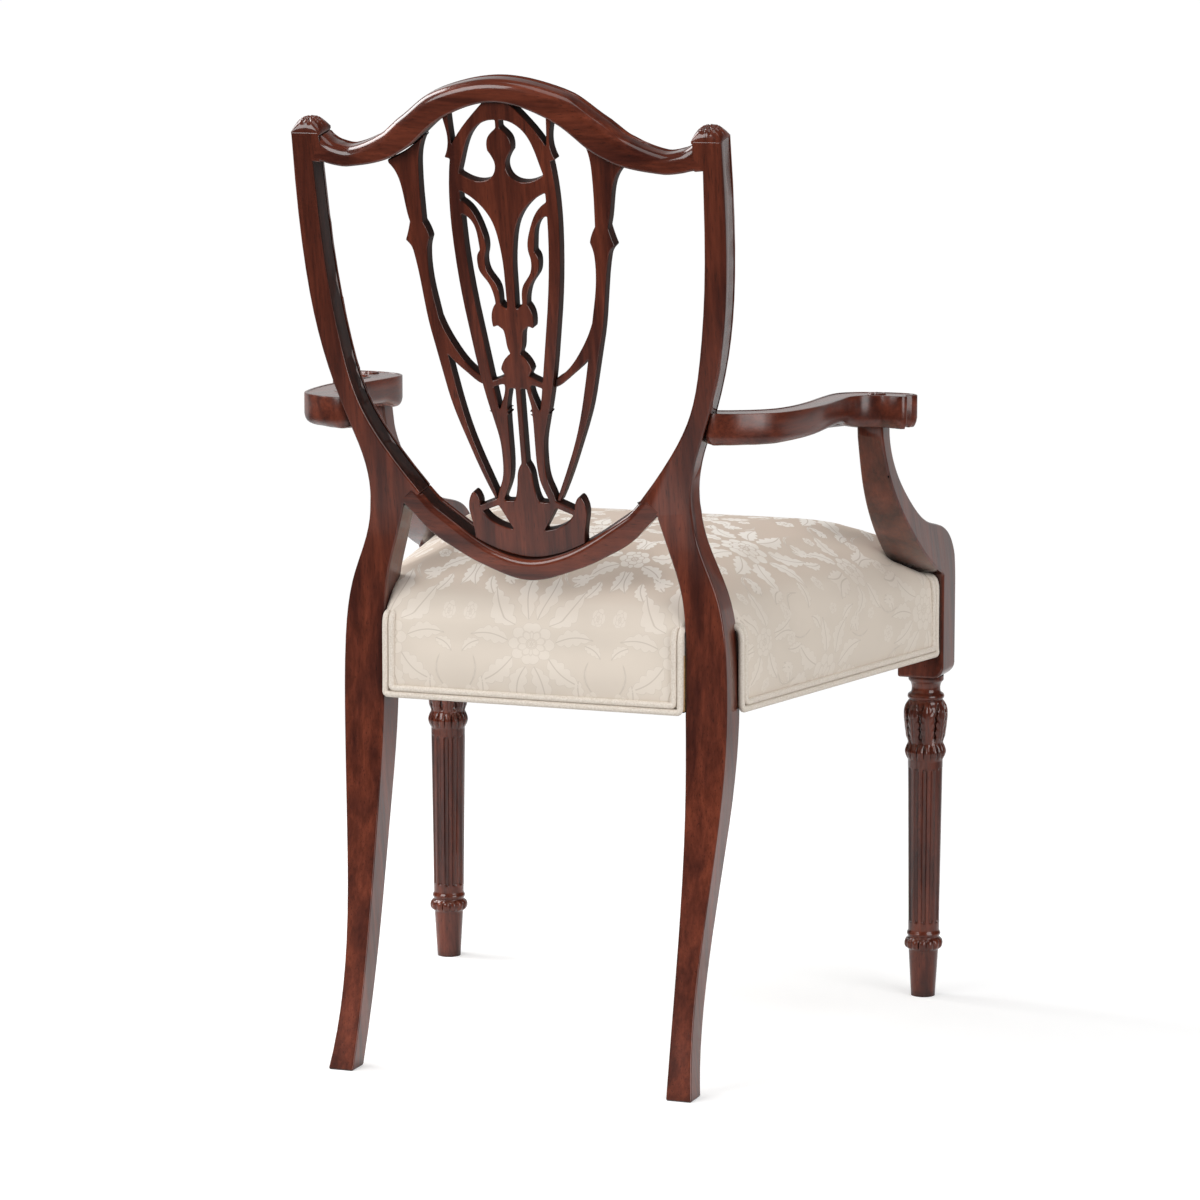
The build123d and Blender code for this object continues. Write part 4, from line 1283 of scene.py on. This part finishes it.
# The two weaves part in a fine shadow line, where the figure is neither on nor off.
rest_of = add(tree, "ShaderNodeMath", {0: 1.0, 1: figure}, operation="SUBTRACT")
line = add(tree, "ShaderNodeMath", {0: figure, 1: rest_of.outputs[0]}, operation="MULTIPLY")
colour = add(
    tree, "ShaderNodeMix", {0: line.outputs[0], 6: woven.outputs[2], 7: linear("8d7a68")}, data_type="RGBA"
)
weathered = add(
    tree, "ShaderNodeMapRange",
    {"Value": uneven.outputs[0], "From Min": 0.3, "From Max": 0.7, "To Min": 0.96, "To Max": 1.03},
)
shaded = add(
    tree, "ShaderNodeMix", {0: 1.0, 6: colour.outputs[2], 7: weathered.outputs[0]},
    data_type="RGBA", blend_type="MULTIPLY",
)
gloss = add(
    tree, "ShaderNodeMapRange",
    {"Value": figure, "From Min": 0.0, "From Max": 1.0, "To Min": 0.72, "To Max": 0.5},
)
relief = add(
    tree, "ShaderNodeBump", {"Strength": 0.25, "Distance": 0.06 * MM, "Height": thread.outputs[1]}
)
silk = add(
    tree, "ShaderNodeBsdfPrincipled",
    {
        "Base Color": shaded.outputs[2],
        "Roughness": gloss.outputs[0],
        "Specular IOR Level": 0.4,
        "Sheen Weight": 0.12,
        "Sheen Roughness": 0.4,
        "Normal": relief.outputs[0],
    },
)
add(tree, "ShaderNodeOutputMaterial", {"Surface": silk.outputs[0]})
seat.data.materials.clear()
seat.data.materials.append(seat_cloth)
print("damask nodes:", len(seat_cloth.node_tree.nodes))

# %% [markdown]
# ## Twin piping
#
# Two cords wrapped in the seat cloth finish the lower edge of each panel and turn up its ends,
# over the top and in along the wood. Each cord is a smooth curve with a round section.

# %% Piping
cord_radius = 3.2 * MM


def piping(name, start, along, out, length, node):
    """A pair of cords: in over the top, down one edge, along the bottom and up the other."""
    data = bpy.data.curves.new(name, "CURVE")
    data.dimensions = "3D"
    data.bevel_depth = cord_radius
    data.bevel_resolution = 4
    data.use_fill_caps = True
    up = Vector((0, 0, 1))
    top = 84 * MM
    for lane in (0, 1):
        edge = (1 + 2 * lane) * cord_radius
        bend = 7 * MM
        tuck = 1.2 * MM
        route = []
        for across, rise, inward in (
            (edge, top, 40 * MM),
            (edge, top, 13 * MM),
            (edge, top - 2 * MM, 4 * MM),
            (edge, top - 10 * MM, tuck),
            (edge, top - 22 * MM, tuck),
            (edge, edge + bend, tuck),
            (edge, edge, 0),
            (edge + bend, edge, 0),
            (length - edge - bend, edge, 0),
            (length - edge, edge, 0),
            (length - edge, edge + bend, tuck),
            (length - edge, top - 22 * MM, tuck),
            (length - edge, top - 10 * MM, tuck),
            (length - edge, top - 2 * MM, 4 * MM),
            (length - edge, top, 13 * MM),
            (length - edge, top, 40 * MM),
        ):
            route.append(start + along * across + up * rise - out * inward)
        spline = data.splines.new("NURBS")
        spline.points.add(len(route) - 1)
        for point, place in zip(spline.points, route):
            point.co = (*place, 1)
        spline.use_endpoint_u = True
        spline.order_u = 3
        spline.resolution_u = 6
    piece = bpy.data.objects.new(name, data)
    bpy.context.scene.collection.objects.link(piece)
    activate(piece)
    bpy.ops.object.convert(target="MESH")
    bpy.ops.object.shade_smooth()
    return keep(piece, "piping", node)


rear_half, front_half, side_start, side_end = 156.1, 240.9, 17, 399.5
rear_corner = at(rear_half, seat_rear, seat_bottom)
front_corner = at(-front_half, seat_front, seat_bottom)
leftwards, rearwards = Vector((1, 0, 0)), Vector((0, 1, 0))
welts = [
    piping("piping_rear", rear_corner, -leftwards, rearwards, 2 * rear_half * MM, "welt_rear"),
    piping("piping_front", front_corner, leftwards, -rearwards, 2 * front_half * MM, "welt_front"),
]
for sign, side in ((1, "left"), (-1, "right")):
    first = at(sign * side_half(side_start), side_start, seat_bottom)
    last = at(sign * side_half(side_end), side_end, seat_bottom)
    run = last - first
    out = Vector((sign * run.y, -sign * run.x, 0)).normalized()
    welts.append(piping(f"piping_side_{side}", first, run.normalized(), out, run.length, f"welt_side_{side}"))
covered_cord = plain_finish("cord in ivory satin", "d0c4b6", "e2d9ce", 1.6, (1, 1, 1), 0.5, 0.3)
for welt in welts:
    welt.data.materials.clear()
    welt.data.materials.append(covered_cord)
    print(welt.name, len(welt.data.polygons))
